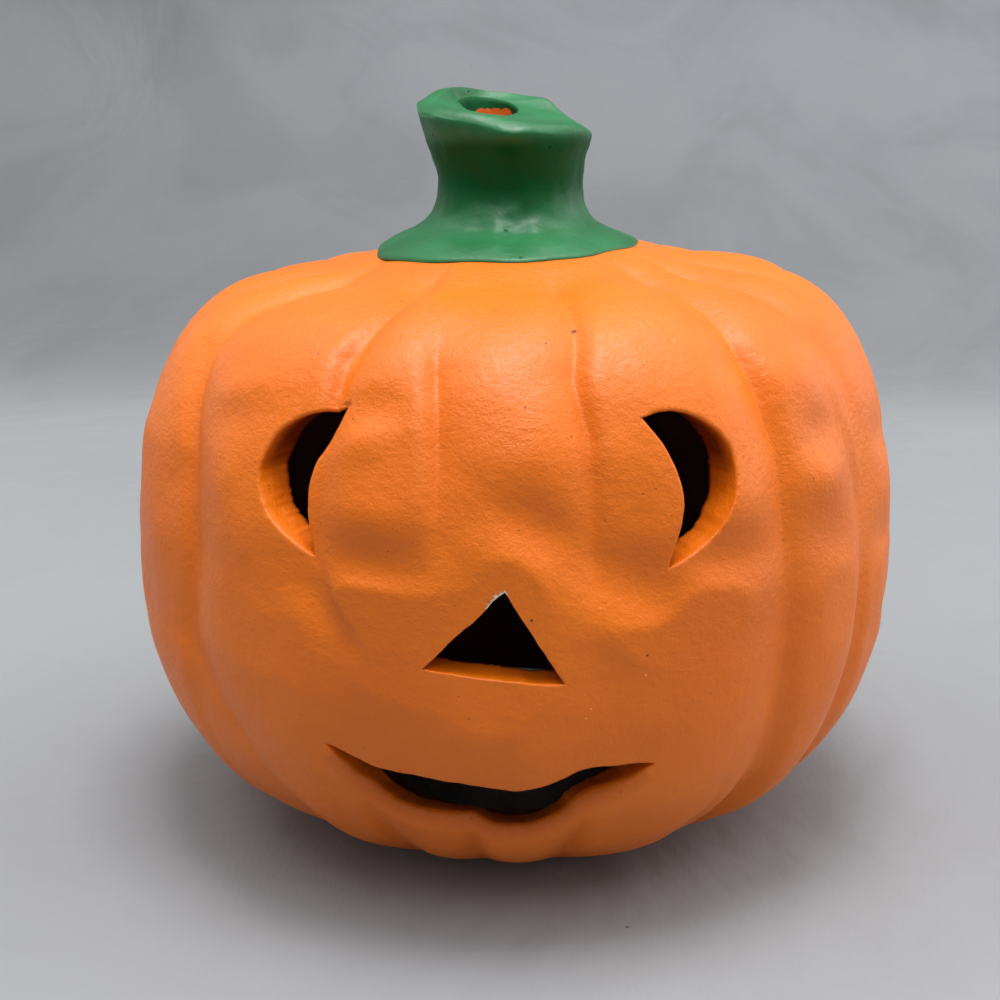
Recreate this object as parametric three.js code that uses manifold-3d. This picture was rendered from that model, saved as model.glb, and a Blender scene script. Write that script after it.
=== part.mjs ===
// A ceramic jack-o'-lantern that stands over a tea light.
// The pumpkin is a hollow slip-cast shell with an open foot, a carved face and a vented stem.
// Millimetres, +Z up, the face looks along -Y, and the foot stands on the plane z = 0.

import * as THREE from "three";
import { mergeVertices } from "three/addons/utils/BufferGeometryUtils.js";
import Module from "manifold-3d";

// Body of the pumpkin
const BODY_DIAMETER = 141;
const BODY_HEIGHT = 103.5;
const CROWN_RISE = 2;
const CROWN_RISE_WIDTH = 18;
const CROWN_TILT = 1.4;
const BELLY_HEIGHT = 54;
const WALL = 6;
const FOOT_RING_WIDTH = 6;
const GROOVE_DEPTH = 2.4;
const GROOVE_RUNOUT = 16;

// How square the body's curve is: 2 is an ellipse, more is fuller
const UNDERSIDE_FULLNESS = 2.5;
const SHOULDER_FULLNESS = 6;
const CROWN_FULLNESS = 2.1;
const LOBE_FULLNESS = 2.2;

// Each groove's bearing from the face in degrees, and its depth as a share of GROOVE_DEPTH
const GROOVES = [
  [-22, 0.55],
  [-6, 0.35],
  [13, 0.6],
  [43, 1],
  [62, 0.9],
  [81, 0.8],
  [101, 0.9],
  [124, 1],
  [149, 0.8],
  [172, 0.9],
  [196, 1],
  [219, 0.8],
  [242, 0.9],
  [262, 0.9],
  [282, 0.8],
  [310, 1],
];

// Carved face: widths lie along the belly, heights are upright
const EYE_LENGTH = 22;
const EYE_BULGE = 13.6;
const EYE_HOLLOW = 3.6;
const EYE_SPACING = 53;
const EYE_BELOW_CROWN = 26.5;
const EYE_TILT = 7;
const NOSE_WIDTH = 21.8;
const NOSE_HEIGHT = 12.4;
const NOSE_TILT = 4.7;
const NOSE_APEX_OFFSET = 1.1;
const NOSE_BASE_BELOW_BELLY = 4;
const MOUTH_WIDTH = 55.5;
const MOUTH_DEPTH = 16;
const MOUTH_ABOVE_FOOT = 34.5;
const FACE_TILT = 1.3;
const CUT_REACH = 12;

// The lips as shares of half the mouth's width and of its depth, from the left corner to the right
const UPPER_LIP = [
  [-1, 0.06],
  [-0.6, -0.13],
  [0.07, -0.26],
  [0.32, -0.21],
  [0.54, -0.06],
  [1, -0.06],
];
const LOWER_LIP = [
  [-1, 0.06],
  [-0.78, -0.56],
  [-0.52, -0.7],
  [-0.3, -0.77],
  [0.06, -1.01],
  [0.34, -0.93],
  [0.55, -0.58],
  [1, -0.06],
];

// Stem
const STEM_HEIGHT = 24.5;
const SKIRT_RADIUS = 23.6;
const SKIRT_WAVE = 1.5;
const SKIRT_WIDEST = -50;
const SKIRT_RIPPLES = 5;
const SKIRT_RIPPLE_SHARE = 0.35;
const SKIRT_EDGE = 0.8;
const NECK_RADIUS = 13.2;
const LIP_RADIUS = 15.6;
const LIP_ROUND = 2.6;
const STEM_SIDES = 6;
const STEM_SIDE_BEARING = -9.5;
const STEM_SIDE_DEPTH = 0.5;
const TOP_TILT_SIDEWAYS = 10;
const TOP_TILT_FORWARD = 14;
const VENT_RADIUS = 5;
const VENT_OFFSET = 4;
const VENT_ROUND = 1;
const BORE_RADIUS = 8.5;
const BORE_NARROWS_AT = 0.45;
const STEM_LEAN = 1.6;
const SEAT_GAP = 0.3;

// The stem's side from the skirt up: how far out, as a share of the flare from neck to skirt or
// of the swell from neck to lip, and how far up, as a share of the stem's height
const STEM_FLARE = [
  [0.96, 0.05],
  [0.62, 0.12],
  [0.3, 0.22],
  [0.06, 0.36],
];
const STEM_SWELL = [
  [0, 0.5],
  [0.45, 0.7],
  [1, 0.88],
];
const LIP_SHOULDER = [0.3, 0.97];

// Tea light
const CUP_DIAMETER = 38;
const CUP_HEIGHT = 16;
const CUP_DRAFT = 0.7;
const CUP_SKIN = 0.4;
const CUP_BEAD = 0.5;
const WAX_BELOW_RIM = 3;
const WAX_FIT = 0.15;
const WAX_MENISCUS = 0.8;
const WICK_RADIUS = 0.8;
const WICK_ABOVE_WAX = 7;
const WICK_FIT = 0.15;
const SUSTAINER_RADIUS = 6.5;
const SUSTAINER_SKIN = 0.3;
const COLLAR_SKIN = 0.4;
const COLLAR_HEIGHT = 3;

// Clearance between the tea light and the foot opening that it passes through
const TEALIGHT_CLEARANCE = 5;

// Facets
const FACETS_PER_LOBE = 6;
const OUTSIDE_STEPS = 22;
const INSIDE_STEPS = 12;
const EYE_STEPS = 14;
const NOSE_STEPS = 4;
const UPPER_LIP_STEPS = 18;
const LOWER_LIP_STEPS = 22;
const STEM_FACETS = 48;
const STEM_STEPS = 15;
const ROUND_FACETS = 48;
const SMALL_FACETS = 16;

const BODY_RADIUS = BODY_DIAMETER / 2;
const CROWN_HEIGHT = BODY_HEIGHT + CROWN_RISE;
const OPENING_RADIUS = CUP_DIAMETER / 2 + TEALIGHT_CLEARANCE;
const FOOT_RADIUS = OPENING_RADIUS + FOOT_RING_WIDTH;
const DEGREE = Math.PI / 180;

const wasm = await Module();
wasm.setup();

// Solids for cutting

function toSolid(geometry) {
  const bare = geometry.clone();
  bare.deleteAttribute("normal");
  bare.deleteAttribute("uv");
  const merged = mergeVertices(bare, 1e-4);
  const triVerts = new Uint32Array(merged.index.array);
  const vertProperties = merged.attributes.position.array;
  return new wasm.Manifold(new wasm.Mesh({ numProp: 3, vertProperties, triVerts }));
}

function toGeometry(solid) {
  const mesh = solid.getMesh();
  const geometry = new THREE.BufferGeometry();
  geometry.setAttribute("position", new THREE.BufferAttribute(mesh.vertProperties, 3));
  geometry.setIndex(new THREE.BufferAttribute(mesh.triVerts, 1));
  return geometry;
}

// Joins rings of points, each with as many points, into a closed body that bends back on itself
function loftLoop(rings) {
  const count = rings[0].length;
  const index = [];
  rings.forEach((ring, j) => {
    const next = (j + 1) % rings.length;
    for (let i = 0; i < count; i++) {
      const a = j * count + i;
      const b = j * count + ((i + 1) % count);
      const c = next * count + ((i + 1) % count);
      const d = next * count + i;
      index.push(a, b, c, a, c, d);
    }
  });
  const geometry = new THREE.BufferGeometry().setFromPoints(rings.flat());
  geometry.setIndex(index);
  return geometry;
}

function ramp(value, from, to) {
  return THREE.MathUtils.smoothstep(value, from, to);
}

// Body profile: two superellipse quarters that meet at the belly

// The crown swells up a little under the stem
function crownSwell(r) {
  const edge = SKIRT_RADIUS + SKIRT_WAVE;
  return CROWN_RISE * (1 - ramp(r, edge - CROWN_RISE_WIDTH / 2, edge + CROWN_RISE_WIDTH / 2));
}

function profile(inset) {
  const radius = BODY_RADIUS - inset;
  const footShare = (1 - (FOOT_RADIUS / BODY_RADIUS) ** UNDERSIDE_FULLNESS) ** (1 / UNDERSIDE_FULLNESS);
  const below = BELLY_HEIGHT / footShare - inset;
  const above = BODY_HEIGHT - BELLY_HEIGHT - inset;
  const topShare = (r) => (1 - (r / radius) ** SHOULDER_FULLNESS) ** (1 / CROWN_FULLNESS);
  const bottomShare = (r) => (1 - (r / radius) ** UNDERSIDE_FULLNESS) ** (1 / UNDERSIDE_FULLNESS);
  return {
    radius,
    top: (r) => BELLY_HEIGHT + above * topShare(r) + crownSwell(r),
    bottom: (r) => BELLY_HEIGHT - below * bottomShare(r),
  };
}

const OUTSIDE = profile(0);
const INSIDE = profile(WALL);

// Points from the lower opening round the belly to the upper opening, evenly spaced along the curve
function profilePoints(curve, lowerRadius, upperRadius, steps) {
  const fine = [];
  const fineSteps = 200;
  for (let k = 0; k <= fineSteps; k++) {
    const turn = (Math.PI / 2) * (k / fineSteps);
    const r = lowerRadius + (curve.radius - lowerRadius) * Math.sin(turn);
    fine.push(new THREE.Vector2(r, curve.bottom(r)));
  }
  for (let k = fineSteps - 1; k >= 0; k--) {
    const turn = (Math.PI / 2) * (k / fineSteps);
    const r = upperRadius + (curve.radius - upperRadius) * Math.sin(turn);
    fine.push(new THREE.Vector2(r, curve.top(r)));
  }
  return new THREE.Path(fine).getSpacedPoints(steps);
}

// Lobes: 0 on a lobe's crest, up to 1 in the deepest groove

const bearings = GROOVES.flatMap(([start], i) => {
  const end = i + 1 < GROOVES.length ? GROOVES[i + 1][0] : GROOVES[0][0] + 360;
  return Array.from({ length: FACETS_PER_LOBE }, (_, k) => ({
    angle: (start + ((end - start) * k) / FACETS_PER_LOBE) * DEGREE,
    dip: lobeDip(i, k / FACETS_PER_LOBE),
  }));
});

function lobeDip(lobe, share) {
  const startDepth = GROOVES[lobe][1];
  const endDepth = GROOVES[(lobe + 1) % GROOVES.length][1];
  const depth = startDepth + (endDepth - startDepth) * share;
  return depth * Math.abs(2 * share - 1) ** LOBE_FULLNESS;
}

function onBearing(angle, radius, height) {
  return new THREE.Vector3(radius * Math.sin(angle), -radius * Math.cos(angle), height);
}

// The crown and the stem on it stand higher on the pumpkin's left, to the viewer's right
function tilted(point) {
  const share = ramp(point.z, BELLY_HEIGHT, CROWN_HEIGHT);
  point.z += share * point.x * Math.tan(CROWN_TILT * DEGREE);
  return point;
}

// Grooves are sunk square to the curve, and run out to plain round surfaces at the foot ring and
// under the stem's skirt
function bodyRings(points) {
  return points.map((point, i) => {
    const before = points[Math.max(i - 1, 0)];
    const after = points[Math.min(i + 1, points.length - 1)];
    const along = after.clone().sub(before).normalize();
    const plainRadius = point.y > BELLY_HEIGHT ? SKIRT_RADIUS + 2 * SKIRT_WAVE : FOOT_RADIUS;
    const depth = GROOVE_DEPTH * ramp(point.x, plainRadius, plainRadius + GROOVE_RUNOUT);
    return bearings.map(({ angle, dip }) => {
      const sunk = depth * dip;
      return tilted(onBearing(angle, point.x - sunk * along.y, point.y + sunk * along.x));
    });
  });
}

// Carved openings: each outline is cut straight towards the pumpkin's axis

function radialCutter(outline) {
  const inner = INSIDE.radius - CUT_REACH * 2;
  const outer = OUTSIDE.radius + CUT_REACH;
  const ends = [inner, outer].map((radius) =>
    outline.map((point) => onBearing(point.x / BODY_RADIUS, radius, point.y)),
  );
  const count = outline.length;
  const index = [];
  for (let i = 0; i < count; i++) {
    const next = (i + 1) % count;
    index.push(i, next, count + next, i, count + next, count + i);
  }
  for (const [a, b, c] of THREE.ShapeUtils.triangulateShape(outline, [])) {
    index.push(a, c, b);
    index.push(count + a, count + b, count + c);
  }
  const geometry = new THREE.BufferGeometry().setFromPoints(ends.flat());
  geometry.setIndex(index);
  return toSolid(geometry);
}

// The whole face is carved a little askew, lower on its left
function faceOutline(points) {
  const middle = new THREE.Vector2(0, BELLY_HEIGHT);
  const turned = points.map((point) => point.clone().rotateAround(middle, -FACE_TILT * DEGREE));
  return THREE.ShapeUtils.isClockWise(turned) ? turned.reverse() : turned;
}

// A crescent between two half ellipses that share their tips
function eyeOutline(side) {
  const half = EYE_LENGTH / 2;
  const halfEllipse = (bulge) =>
    Array.from({ length: EYE_STEPS }, (_, k) => {
      const turn = (Math.PI * k) / EYE_STEPS;
      return new THREE.Vector2(bulge * Math.sin(turn), half * Math.cos(turn));
    });
  const inward = halfEllipse(EYE_HOLLOW).map((point) => new THREE.Vector2(point.x, -point.y));
  const centre = new THREE.Vector2(0, 0);
  const points = [...halfEllipse(EYE_BULGE), ...inward].map((point) => {
    const turned = point.rotateAround(centre, EYE_TILT * DEGREE);
    const across = side * (EYE_SPACING / 2 + turned.x);
    return new THREE.Vector2(across, BODY_HEIGHT - EYE_BELOW_CROWN + turned.y);
  });
  return faceOutline(points);
}

function noseOutline() {
  const base = BELLY_HEIGHT - NOSE_BASE_BELOW_BELLY;
  const corners = [
    new THREE.Vector2(-NOSE_WIDTH / 2, 0),
    new THREE.Vector2(NOSE_WIDTH / 2, 0),
    new THREE.Vector2(NOSE_APEX_OFFSET, NOSE_HEIGHT),
  ];
  const points = corners.flatMap((corner, i) => {
    const next = corners[(i + 1) % corners.length];
    return Array.from({ length: NOSE_STEPS }, (_, k) => corner.clone().lerp(next, k / NOSE_STEPS));
  });
  const centre = new THREE.Vector2(0, 0);
  const tilted = points.map((point) => point.rotateAround(centre, -NOSE_TILT * DEGREE));
  return faceOutline(tilted.map((point) => new THREE.Vector2(point.x, base + point.y)));
}

function mouthOutline() {
  const lip = (shares, steps) => {
    const knots = shares.map(
      ([across, up]) => new THREE.Vector2((across * MOUTH_WIDTH) / 2, MOUTH_ABOVE_FOOT + up * MOUTH_DEPTH),
    );
    return new THREE.SplineCurve(knots).getSpacedPoints(steps);
  };
  const lower = lip(LOWER_LIP, LOWER_LIP_STEPS);
  const upper = lip(UPPER_LIP, UPPER_LIP_STEPS).reverse();
  return faceOutline([...lower.slice(0, -1), ...upper.slice(0, -1)]);
}

function pumpkinShell() {
  const outside = profilePoints(OUTSIDE, FOOT_RADIUS, BORE_RADIUS, OUTSIDE_STEPS);
  const inside = profilePoints(INSIDE, OPENING_RADIUS, BORE_RADIUS, INSIDE_STEPS);
  const footEdge = bodyRings([new THREE.Vector2(OPENING_RADIUS, 0)]);
  const rings = [...footEdge, ...bodyRings(outside), ...bodyRings(inside).reverse()];
  let solid = toSolid(loftLoop(rings));
  for (const outline of [eyeOutline(-1), eyeOutline(1), noseOutline(), mouthOutline()]) {
    solid = solid.subtract(radialCutter(outline));
  }
  return toGeometry(solid);
}

// Stem: a flared, wavy skirt, a faceted neck and a rounded lip whose top is cut on the slant

function topRise(x, y) {
  return y * Math.tan(TOP_TILT_FORWARD * DEGREE) - x * Math.tan(TOP_TILT_SIDEWAYS * DEGREE);
}

// A point at a share of the way from the crown under it up to the slanted top
function stemPoint(angle, radius, share) {
  const base = OUTSIDE.top(Math.max(radius, BORE_RADIUS));
  const lean = -STEM_LEAN * share;
  const x = lean + radius * Math.sin(angle);
  const y = -radius * Math.cos(angle);
  return tilted(new THREE.Vector3(x, y, base + share * (STEM_HEIGHT + topRise(x, y))));
}

function stemAngles() {
  return Array.from({ length: STEM_FACETS }, (_, i) => (i / STEM_FACETS) * Math.PI * 2);
}

// The skirt is widest on one side and wavy at its edge
function skirtRadius(angle, radius) {
  const share = ramp(radius, NECK_RADIUS, SKIRT_RADIUS);
  const ripple = SKIRT_RIPPLE_SHARE * Math.sin(SKIRT_RIPPLES * angle);
  const wave = Math.cos(angle - SKIRT_WIDEST * DEGREE) + ripple;
  return radius + share * SKIRT_WAVE * wave;
}

function stemRing(radius, share) {
  return stemAngles().map((angle) => {
    const side = Math.cos(STEM_SIDES * (angle - STEM_SIDE_BEARING * DEGREE));
    const depth = STEM_SIDE_DEPTH * (1 - ramp(radius, LIP_RADIUS, SKIRT_RADIUS));
    return stemPoint(angle, skirtRadius(angle, radius) - side * depth, share);
  });
}

// Rings of the skirt's lower edge and underside lie a gap above the crown that they rest on
function seatRing(radius, lift) {
  return stemAngles().map((angle) => {
    const r = skirtRadius(angle, radius);
    return tilted(onBearing(angle, r, OUTSIDE.top(r) + SEAT_GAP + lift));
  });
}

function ventRing(radius, share) {
  return stemAngles().map((angle) => {
    const point = stemPoint(angle, radius, share);
    return point.add(new THREE.Vector3(-VENT_OFFSET * share, VENT_OFFSET * share, 0));
  });
}

function stem() {
  const under = (SKIRT_RADIUS + BORE_RADIUS) / 2;
  const flare = SKIRT_RADIUS - NECK_RADIUS;
  const swell = LIP_RADIUS - NECK_RADIUS;
  const [shoulderShare, shoulderHeight] = LIP_SHOULDER;
  const flank = new THREE.SplineCurve([
    ...STEM_FLARE.map(([out, up]) => new THREE.Vector2(NECK_RADIUS + out * flare, up)),
    ...STEM_SWELL.map(([out, up]) => new THREE.Vector2(NECK_RADIUS + out * swell, up)),
    new THREE.Vector2(LIP_RADIUS - shoulderShare * LIP_ROUND, shoulderHeight),
    new THREE.Vector2(LIP_RADIUS - LIP_ROUND, 1),
  ]).getSpacedPoints(STEM_STEPS);
  const rings = [
    seatRing(BORE_RADIUS, 0),
    seatRing(under, 0),
    seatRing(SKIRT_RADIUS, 0),
    seatRing(SKIRT_RADIUS, SKIRT_EDGE),
    ...flank.map((point) => stemRing(point.x, point.y)),
    ventRing(VENT_RADIUS + VENT_ROUND, 1),
    ventRing(VENT_RADIUS, 1 - VENT_ROUND / STEM_HEIGHT),
    ventRing(BORE_RADIUS, BORE_NARROWS_AT),
  ];
  return loftLoop(rings);
}

// Tea light: lathe profiles turned up onto +Z

function lathe(points, facets) {
  const geometry = new THREE.LatheGeometry(
    points.map(([r, z]) => new THREE.Vector2(r, z)),
    facets,
  );
  return geometry.rotateX(Math.PI / 2);
}

const CUP_RADIUS = CUP_DIAMETER / 2 - CUP_BEAD;
const FLOOR_RADIUS = CUP_RADIUS - CUP_DRAFT;

function cupWall(height) {
  return FLOOR_RADIUS + (CUP_DRAFT * height) / CUP_HEIGHT;
}

function tealightCup() {
  const bead = CUP_HEIGHT - 2 * CUP_BEAD;
  return lathe(
    [
      [0, 0],
      [FLOOR_RADIUS - CUP_SKIN, 0],
      [FLOOR_RADIUS, CUP_SKIN],
      [cupWall(bead), bead],
      [CUP_RADIUS + CUP_BEAD, bead + CUP_BEAD / 2],
      [CUP_RADIUS + CUP_BEAD, CUP_HEIGHT - CUP_BEAD / 2],
      [CUP_RADIUS, CUP_HEIGHT],
      [cupWall(bead) - CUP_SKIN, bead],
      [FLOOR_RADIUS - CUP_SKIN, CUP_SKIN],
      [0, CUP_SKIN],
    ],
    ROUND_FACETS,
  );
}

const WAX_FLOOR = CUP_SKIN + WAX_FIT;
const WAX_TOP = CUP_HEIGHT - WAX_BELOW_RIM;
const SUSTAINER_FLOOR = WAX_FLOOR;
const COLLAR_BORE = WICK_RADIUS + WICK_FIT;
const COLLAR_RADIUS = COLLAR_BORE + COLLAR_SKIN;
const COLLAR_TOP = SUSTAINER_FLOOR + SUSTAINER_SKIN + COLLAR_HEIGHT;

function tealightWax() {
  const pocket = SUSTAINER_FLOOR + SUSTAINER_SKIN + WAX_FIT;
  const throat = COLLAR_TOP + WAX_FIT;
  const edge = CUP_SKIN + WAX_FIT;
  return lathe(
    [
      [SUSTAINER_RADIUS + WAX_FIT, WAX_FLOOR],
      [FLOOR_RADIUS - edge, WAX_FLOOR],
      [cupWall(WAX_TOP) - edge, WAX_TOP],
      [cupWall(WAX_TOP) - edge - WAX_MENISCUS, WAX_TOP - WAX_MENISCUS / 2],
      [WICK_RADIUS + 2 * WICK_FIT + WAX_MENISCUS, WAX_TOP - WAX_MENISCUS / 2],
      [WICK_RADIUS + 2 * WICK_FIT, WAX_TOP],
      [WICK_RADIUS + 2 * WICK_FIT, throat],
      [COLLAR_RADIUS + WAX_FIT, throat],
      [COLLAR_RADIUS + WAX_FIT, pocket],
      [SUSTAINER_RADIUS + WAX_FIT, pocket],
      [SUSTAINER_RADIUS + WAX_FIT, WAX_FLOOR],
    ],
    ROUND_FACETS,
  );
}

function wickSustainer() {
  return lathe(
    [
      [COLLAR_BORE, SUSTAINER_FLOOR],
      [SUSTAINER_RADIUS, SUSTAINER_FLOOR],
      [SUSTAINER_RADIUS, SUSTAINER_FLOOR + SUSTAINER_SKIN],
      [COLLAR_RADIUS, SUSTAINER_FLOOR + SUSTAINER_SKIN],
      [COLLAR_RADIUS, COLLAR_TOP],
      [COLLAR_BORE, COLLAR_TOP],
      [COLLAR_BORE, SUSTAINER_FLOOR],
    ],
    SMALL_FACETS,
  );
}

function wick() {
  const top = WAX_TOP + WICK_ABOVE_WAX;
  return lathe(
    [
      [0, SUSTAINER_FLOOR],
      [WICK_RADIUS, SUSTAINER_FLOOR],
      [WICK_RADIUS, top - WICK_RADIUS],
      [WICK_RADIUS / 2, top],
      [0, top],
    ],
    SMALL_FACETS,
  );
}

// Assembly

function node(name, geometry, colour, roughness, metalness = 0) {
  const material = new THREE.MeshStandardMaterial({ color: colour, roughness, metalness });
  const mesh = new THREE.Mesh(geometry, material);
  mesh.name = name;
  return mesh;
}

const pumpkin = new THREE.Group();
pumpkin.add(node("pumpkin_shell", pumpkinShell(), 0xe07a2c, 0.5));
pumpkin.add(node("stem", stem(), 0x1d7a3e, 0.35));

const teaLight = new THREE.Group();
teaLight.add(node("tealight_cup", tealightCup(), 0xb9bcc0, 0.35, 1));
teaLight.add(node("tealight_wax", tealightWax(), 0xf2ead8, 0.45));
teaLight.add(node("wick_sustainer", wickSustainer(), 0xa5a6a8, 0.4, 1));
teaLight.add(node("wick", wick(), 0xe8e0cc, 0.9));

const assembly = new THREE.Group();
assembly.add(pumpkin, teaLight);

export default assembly;
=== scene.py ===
import math

import bpy
import numpy as np
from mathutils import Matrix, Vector
from mathutils.geometry import delaunay_2d_cdt


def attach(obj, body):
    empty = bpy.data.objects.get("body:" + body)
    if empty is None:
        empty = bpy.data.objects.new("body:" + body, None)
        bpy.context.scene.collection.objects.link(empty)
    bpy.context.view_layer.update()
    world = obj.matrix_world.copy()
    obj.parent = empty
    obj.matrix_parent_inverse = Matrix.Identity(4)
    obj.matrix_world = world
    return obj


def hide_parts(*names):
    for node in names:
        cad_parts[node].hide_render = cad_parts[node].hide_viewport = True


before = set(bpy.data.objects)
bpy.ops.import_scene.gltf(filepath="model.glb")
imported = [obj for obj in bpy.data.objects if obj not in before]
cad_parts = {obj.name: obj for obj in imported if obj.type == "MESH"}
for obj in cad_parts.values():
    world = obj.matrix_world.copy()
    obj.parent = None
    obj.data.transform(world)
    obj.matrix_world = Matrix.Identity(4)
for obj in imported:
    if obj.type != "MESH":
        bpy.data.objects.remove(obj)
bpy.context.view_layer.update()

MM = 0.001
DEG = math.pi / 180

# Sizes in millimetres, as in the solids
RADIUS = 70.5
BODY_HEIGHT = 103.5
CROWN_RISE = 3.1
CROWN_RISE_FROM = 19.0
CROWN_RISE_TO = 36.0
CROWN_TILT = 1.4
CROWN = BODY_HEIGHT + CROWN_RISE
BELLY = 54.0
LOWER_POWER = 2.5
UPPER_POWER = 6
UPPER_ROOT = 2.1
WALL = 6.0
FOOT = 30.0
OPENING = 24.0
GROOVE_DEPTH = 2.4
GROOVE_RUNOUT = 16.0

STEM_HEIGHT = 23.6
SKIRT = 23.6
SKIRT_WAVE = 1.5
NECK = 13.2
LIP = 15.6
STEM_LEAN = 1.6
VENT = 5.0
VENT_OFFSET = 4.0
BORE = 8.5

# No point of the shell stands further from the axis than this, so it stays in the solids' box
REACH = 70.28
# Half the width in degrees of the window that holds the carved face
FACE_HALF_ANGLE = 42.0


# Small helpers
def ramp(value, low, high):
    t = np.clip((np.asarray(value, float) - low) / (high - low), 0, 1)
    return t * t * (3 - 2 * t)


def hashed(ix, iy, iz, seed):
    h = (ix * 374761393 + iy * 668265263 + iz * 1440662683 + seed * 974634777) & 0xFFFFFFFF
    h = ((h ^ (h >> 13)) * 1274126177) & 0xFFFFFFFF
    return ((h ^ (h >> 16)) & 0xFFFF) / 32767.5 - 1


def soft_noise(points, size, seed):
    """Smooth noise from -1 to 1 at each point, with lumps about as wide as size."""
    q = points / size
    cell = np.floor(q).astype(np.int64)
    f = q - cell
    f = f * f * f * (f * (f * 6 - 15) + 10)
    total = np.zeros(len(points))
    for corner in range(8):
        d = np.array([corner & 1, (corner >> 1) & 1, corner >> 2])
        weight = np.prod(np.where(d, f, 1 - f), axis=1)
        c = cell + d
        total += weight * hashed(c[:, 0], c[:, 1], c[:, 2], seed)
    return total


def layered_noise(points, layers):
    """Soft noise in layers, each a height, a width and a seed."""
    return sum(height * soft_noise(points, width, seed) for height, width, seed in layers)


def smooth_curve(knots, count):
    """Evenly spaced points on a smooth curve through the knots."""
    k = np.array(knots, float)
    k = np.vstack([2 * k[0] - k[1], k, 2 * k[-1] - k[-2]])
    t = np.linspace(0, 1, 24, endpoint=False)[:, None]
    pieces = []
    for i in range(1, len(k) - 2):
        a, b, c, d = k[i - 1], k[i], k[i + 1], k[i + 2]
        square, cube = 2 * a - 5 * b + 4 * c - d, 3 * b - a - 3 * c + d
        pieces.append(0.5 * (2 * b + (c - a) * t + square * t**2 + cube * t**3))
    return even(np.vstack(pieces + [k[-2:-1]]), count)


def even(points, count):
    length = np.concatenate([[0], np.cumsum(np.linalg.norm(np.diff(points, axis=0), axis=1))])
    at = np.linspace(0, length[-1], count)
    return np.stack([np.interp(at, length, points[:, i]) for i in range(points.shape[1])], 1)


def on_bearing(angle, radius, height):
    """Points in space; angle 0 is the front (-Y), and it grows towards +X."""
    return np.stack([radius * np.sin(angle), -radius * np.cos(angle), height + 0 * angle], -1)


def add_object(name, data):
    obj = bpy.data.objects.new(name, data)
    bpy.context.scene.collection.objects.link(obj)
    return obj


def add_mesh(name, points, faces, materials, face_material=None, values=None):
    mesh = bpy.data.meshes.new(name)
    mesh.from_pydata((np.asarray(points) * MM).tolist(), [], [list(map(int, f)) for f in faces])
    mesh.validate()
    mesh.shade_smooth()
    for material in materials:
        mesh.materials.append(material)
    if face_material is not None:
        mesh.polygons.foreach_set("material_index", np.asarray(face_material, dtype=np.int32))
    for key, array in (values or {}).items():
        layer = mesh.attributes.new(key, "FLOAT", "POINT")
        layer.data.foreach_set("value", np.asarray(array, dtype=np.float32))
    return add_object(name, mesh)


def band(first, second):
    """Faces between two rings of point numbers."""
    return np.stack([first, np.roll(first, -1), np.roll(second, -1), second], 1).tolist()


def grid_faces(rows, columns, closed=True):
    """Faces between the rows of a grid; the rows are rings if it is closed."""
    faces = []
    for i in range(rows - 1):
        row = np.arange(i * columns, (i + 1) * columns)
        ring = band(row, row + columns)
        faces += ring if closed else ring[:-1]
    return faces


# The body's curve: r and z along its length s, from the foot up to the bore
def crown_swell(r):
    return CROWN_RISE * (1 - ramp(r, CROWN_RISE_FROM, CROWN_RISE_TO))


def crown_surface(r):
    share = (1 - (r / RADIUS) ** UPPER_POWER) ** (1 / UPPER_ROOT)
    return BELLY + (BODY_HEIGHT - BELLY) * share + crown_swell(r)


class Profile:
    """The body's curve, moved in by inset and ending at lower_radius on the foot."""

    def __init__(self, inset, lower_radius):
        radius = RADIUS - inset
        share = (1 - (FOOT / RADIUS) ** LOWER_POWER) ** (1 / LOWER_POWER)
        below = BELLY / share - inset
        above = BODY_HEIGHT - BELLY - inset
        turn = np.linspace(0, math.pi / 2, 1500)
        rl = lower_radius + (radius - lower_radius) * np.sin(turn)
        ru = BORE + (radius - BORE) * np.sin(turn[::-1])
        zl = BELLY - below * (1 - (rl / radius) ** LOWER_POWER) ** (1 / LOWER_POWER)
        zu = BELLY + above * (1 - (ru / radius) ** UPPER_POWER) ** (1 / UPPER_ROOT) + crown_swell(ru)
        self.r = np.concatenate([rl, ru[1:]])
        self.z = np.concatenate([zl, zu[1:]])
        self.s = np.concatenate([[0], np.cumsum(np.hypot(np.diff(self.r), np.diff(self.z)))])
        tr, tz = np.gradient(self.r, self.s), np.gradient(self.z, self.s)
        size = np.hypot(tr, tz)
        self.nr, self.nz = tz / size, -tr / size
        self.length = self.s[-1]

    def at(self, s):
        return np.interp(s, self.s, self.r), np.interp(s, self.s, self.z)

    def normal(self, s):
        return np.interp(s, self.s, self.nr), np.interp(s, self.s, self.nz)

    def s_of_z(self, z):
        top = np.argmax(self.z)
        return np.interp(z, self.z[:top], self.s[:top])


OUTSIDE = Profile(0, FOOT)
INSIDE = Profile(WALL, OPENING)


def flattened(bearing, height):
    """A point of the flattened surface (x, s)."""
    return np.array([bearing * DEG * RADIUS, float(OUTSIDE.s_of_z(height))])


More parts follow.
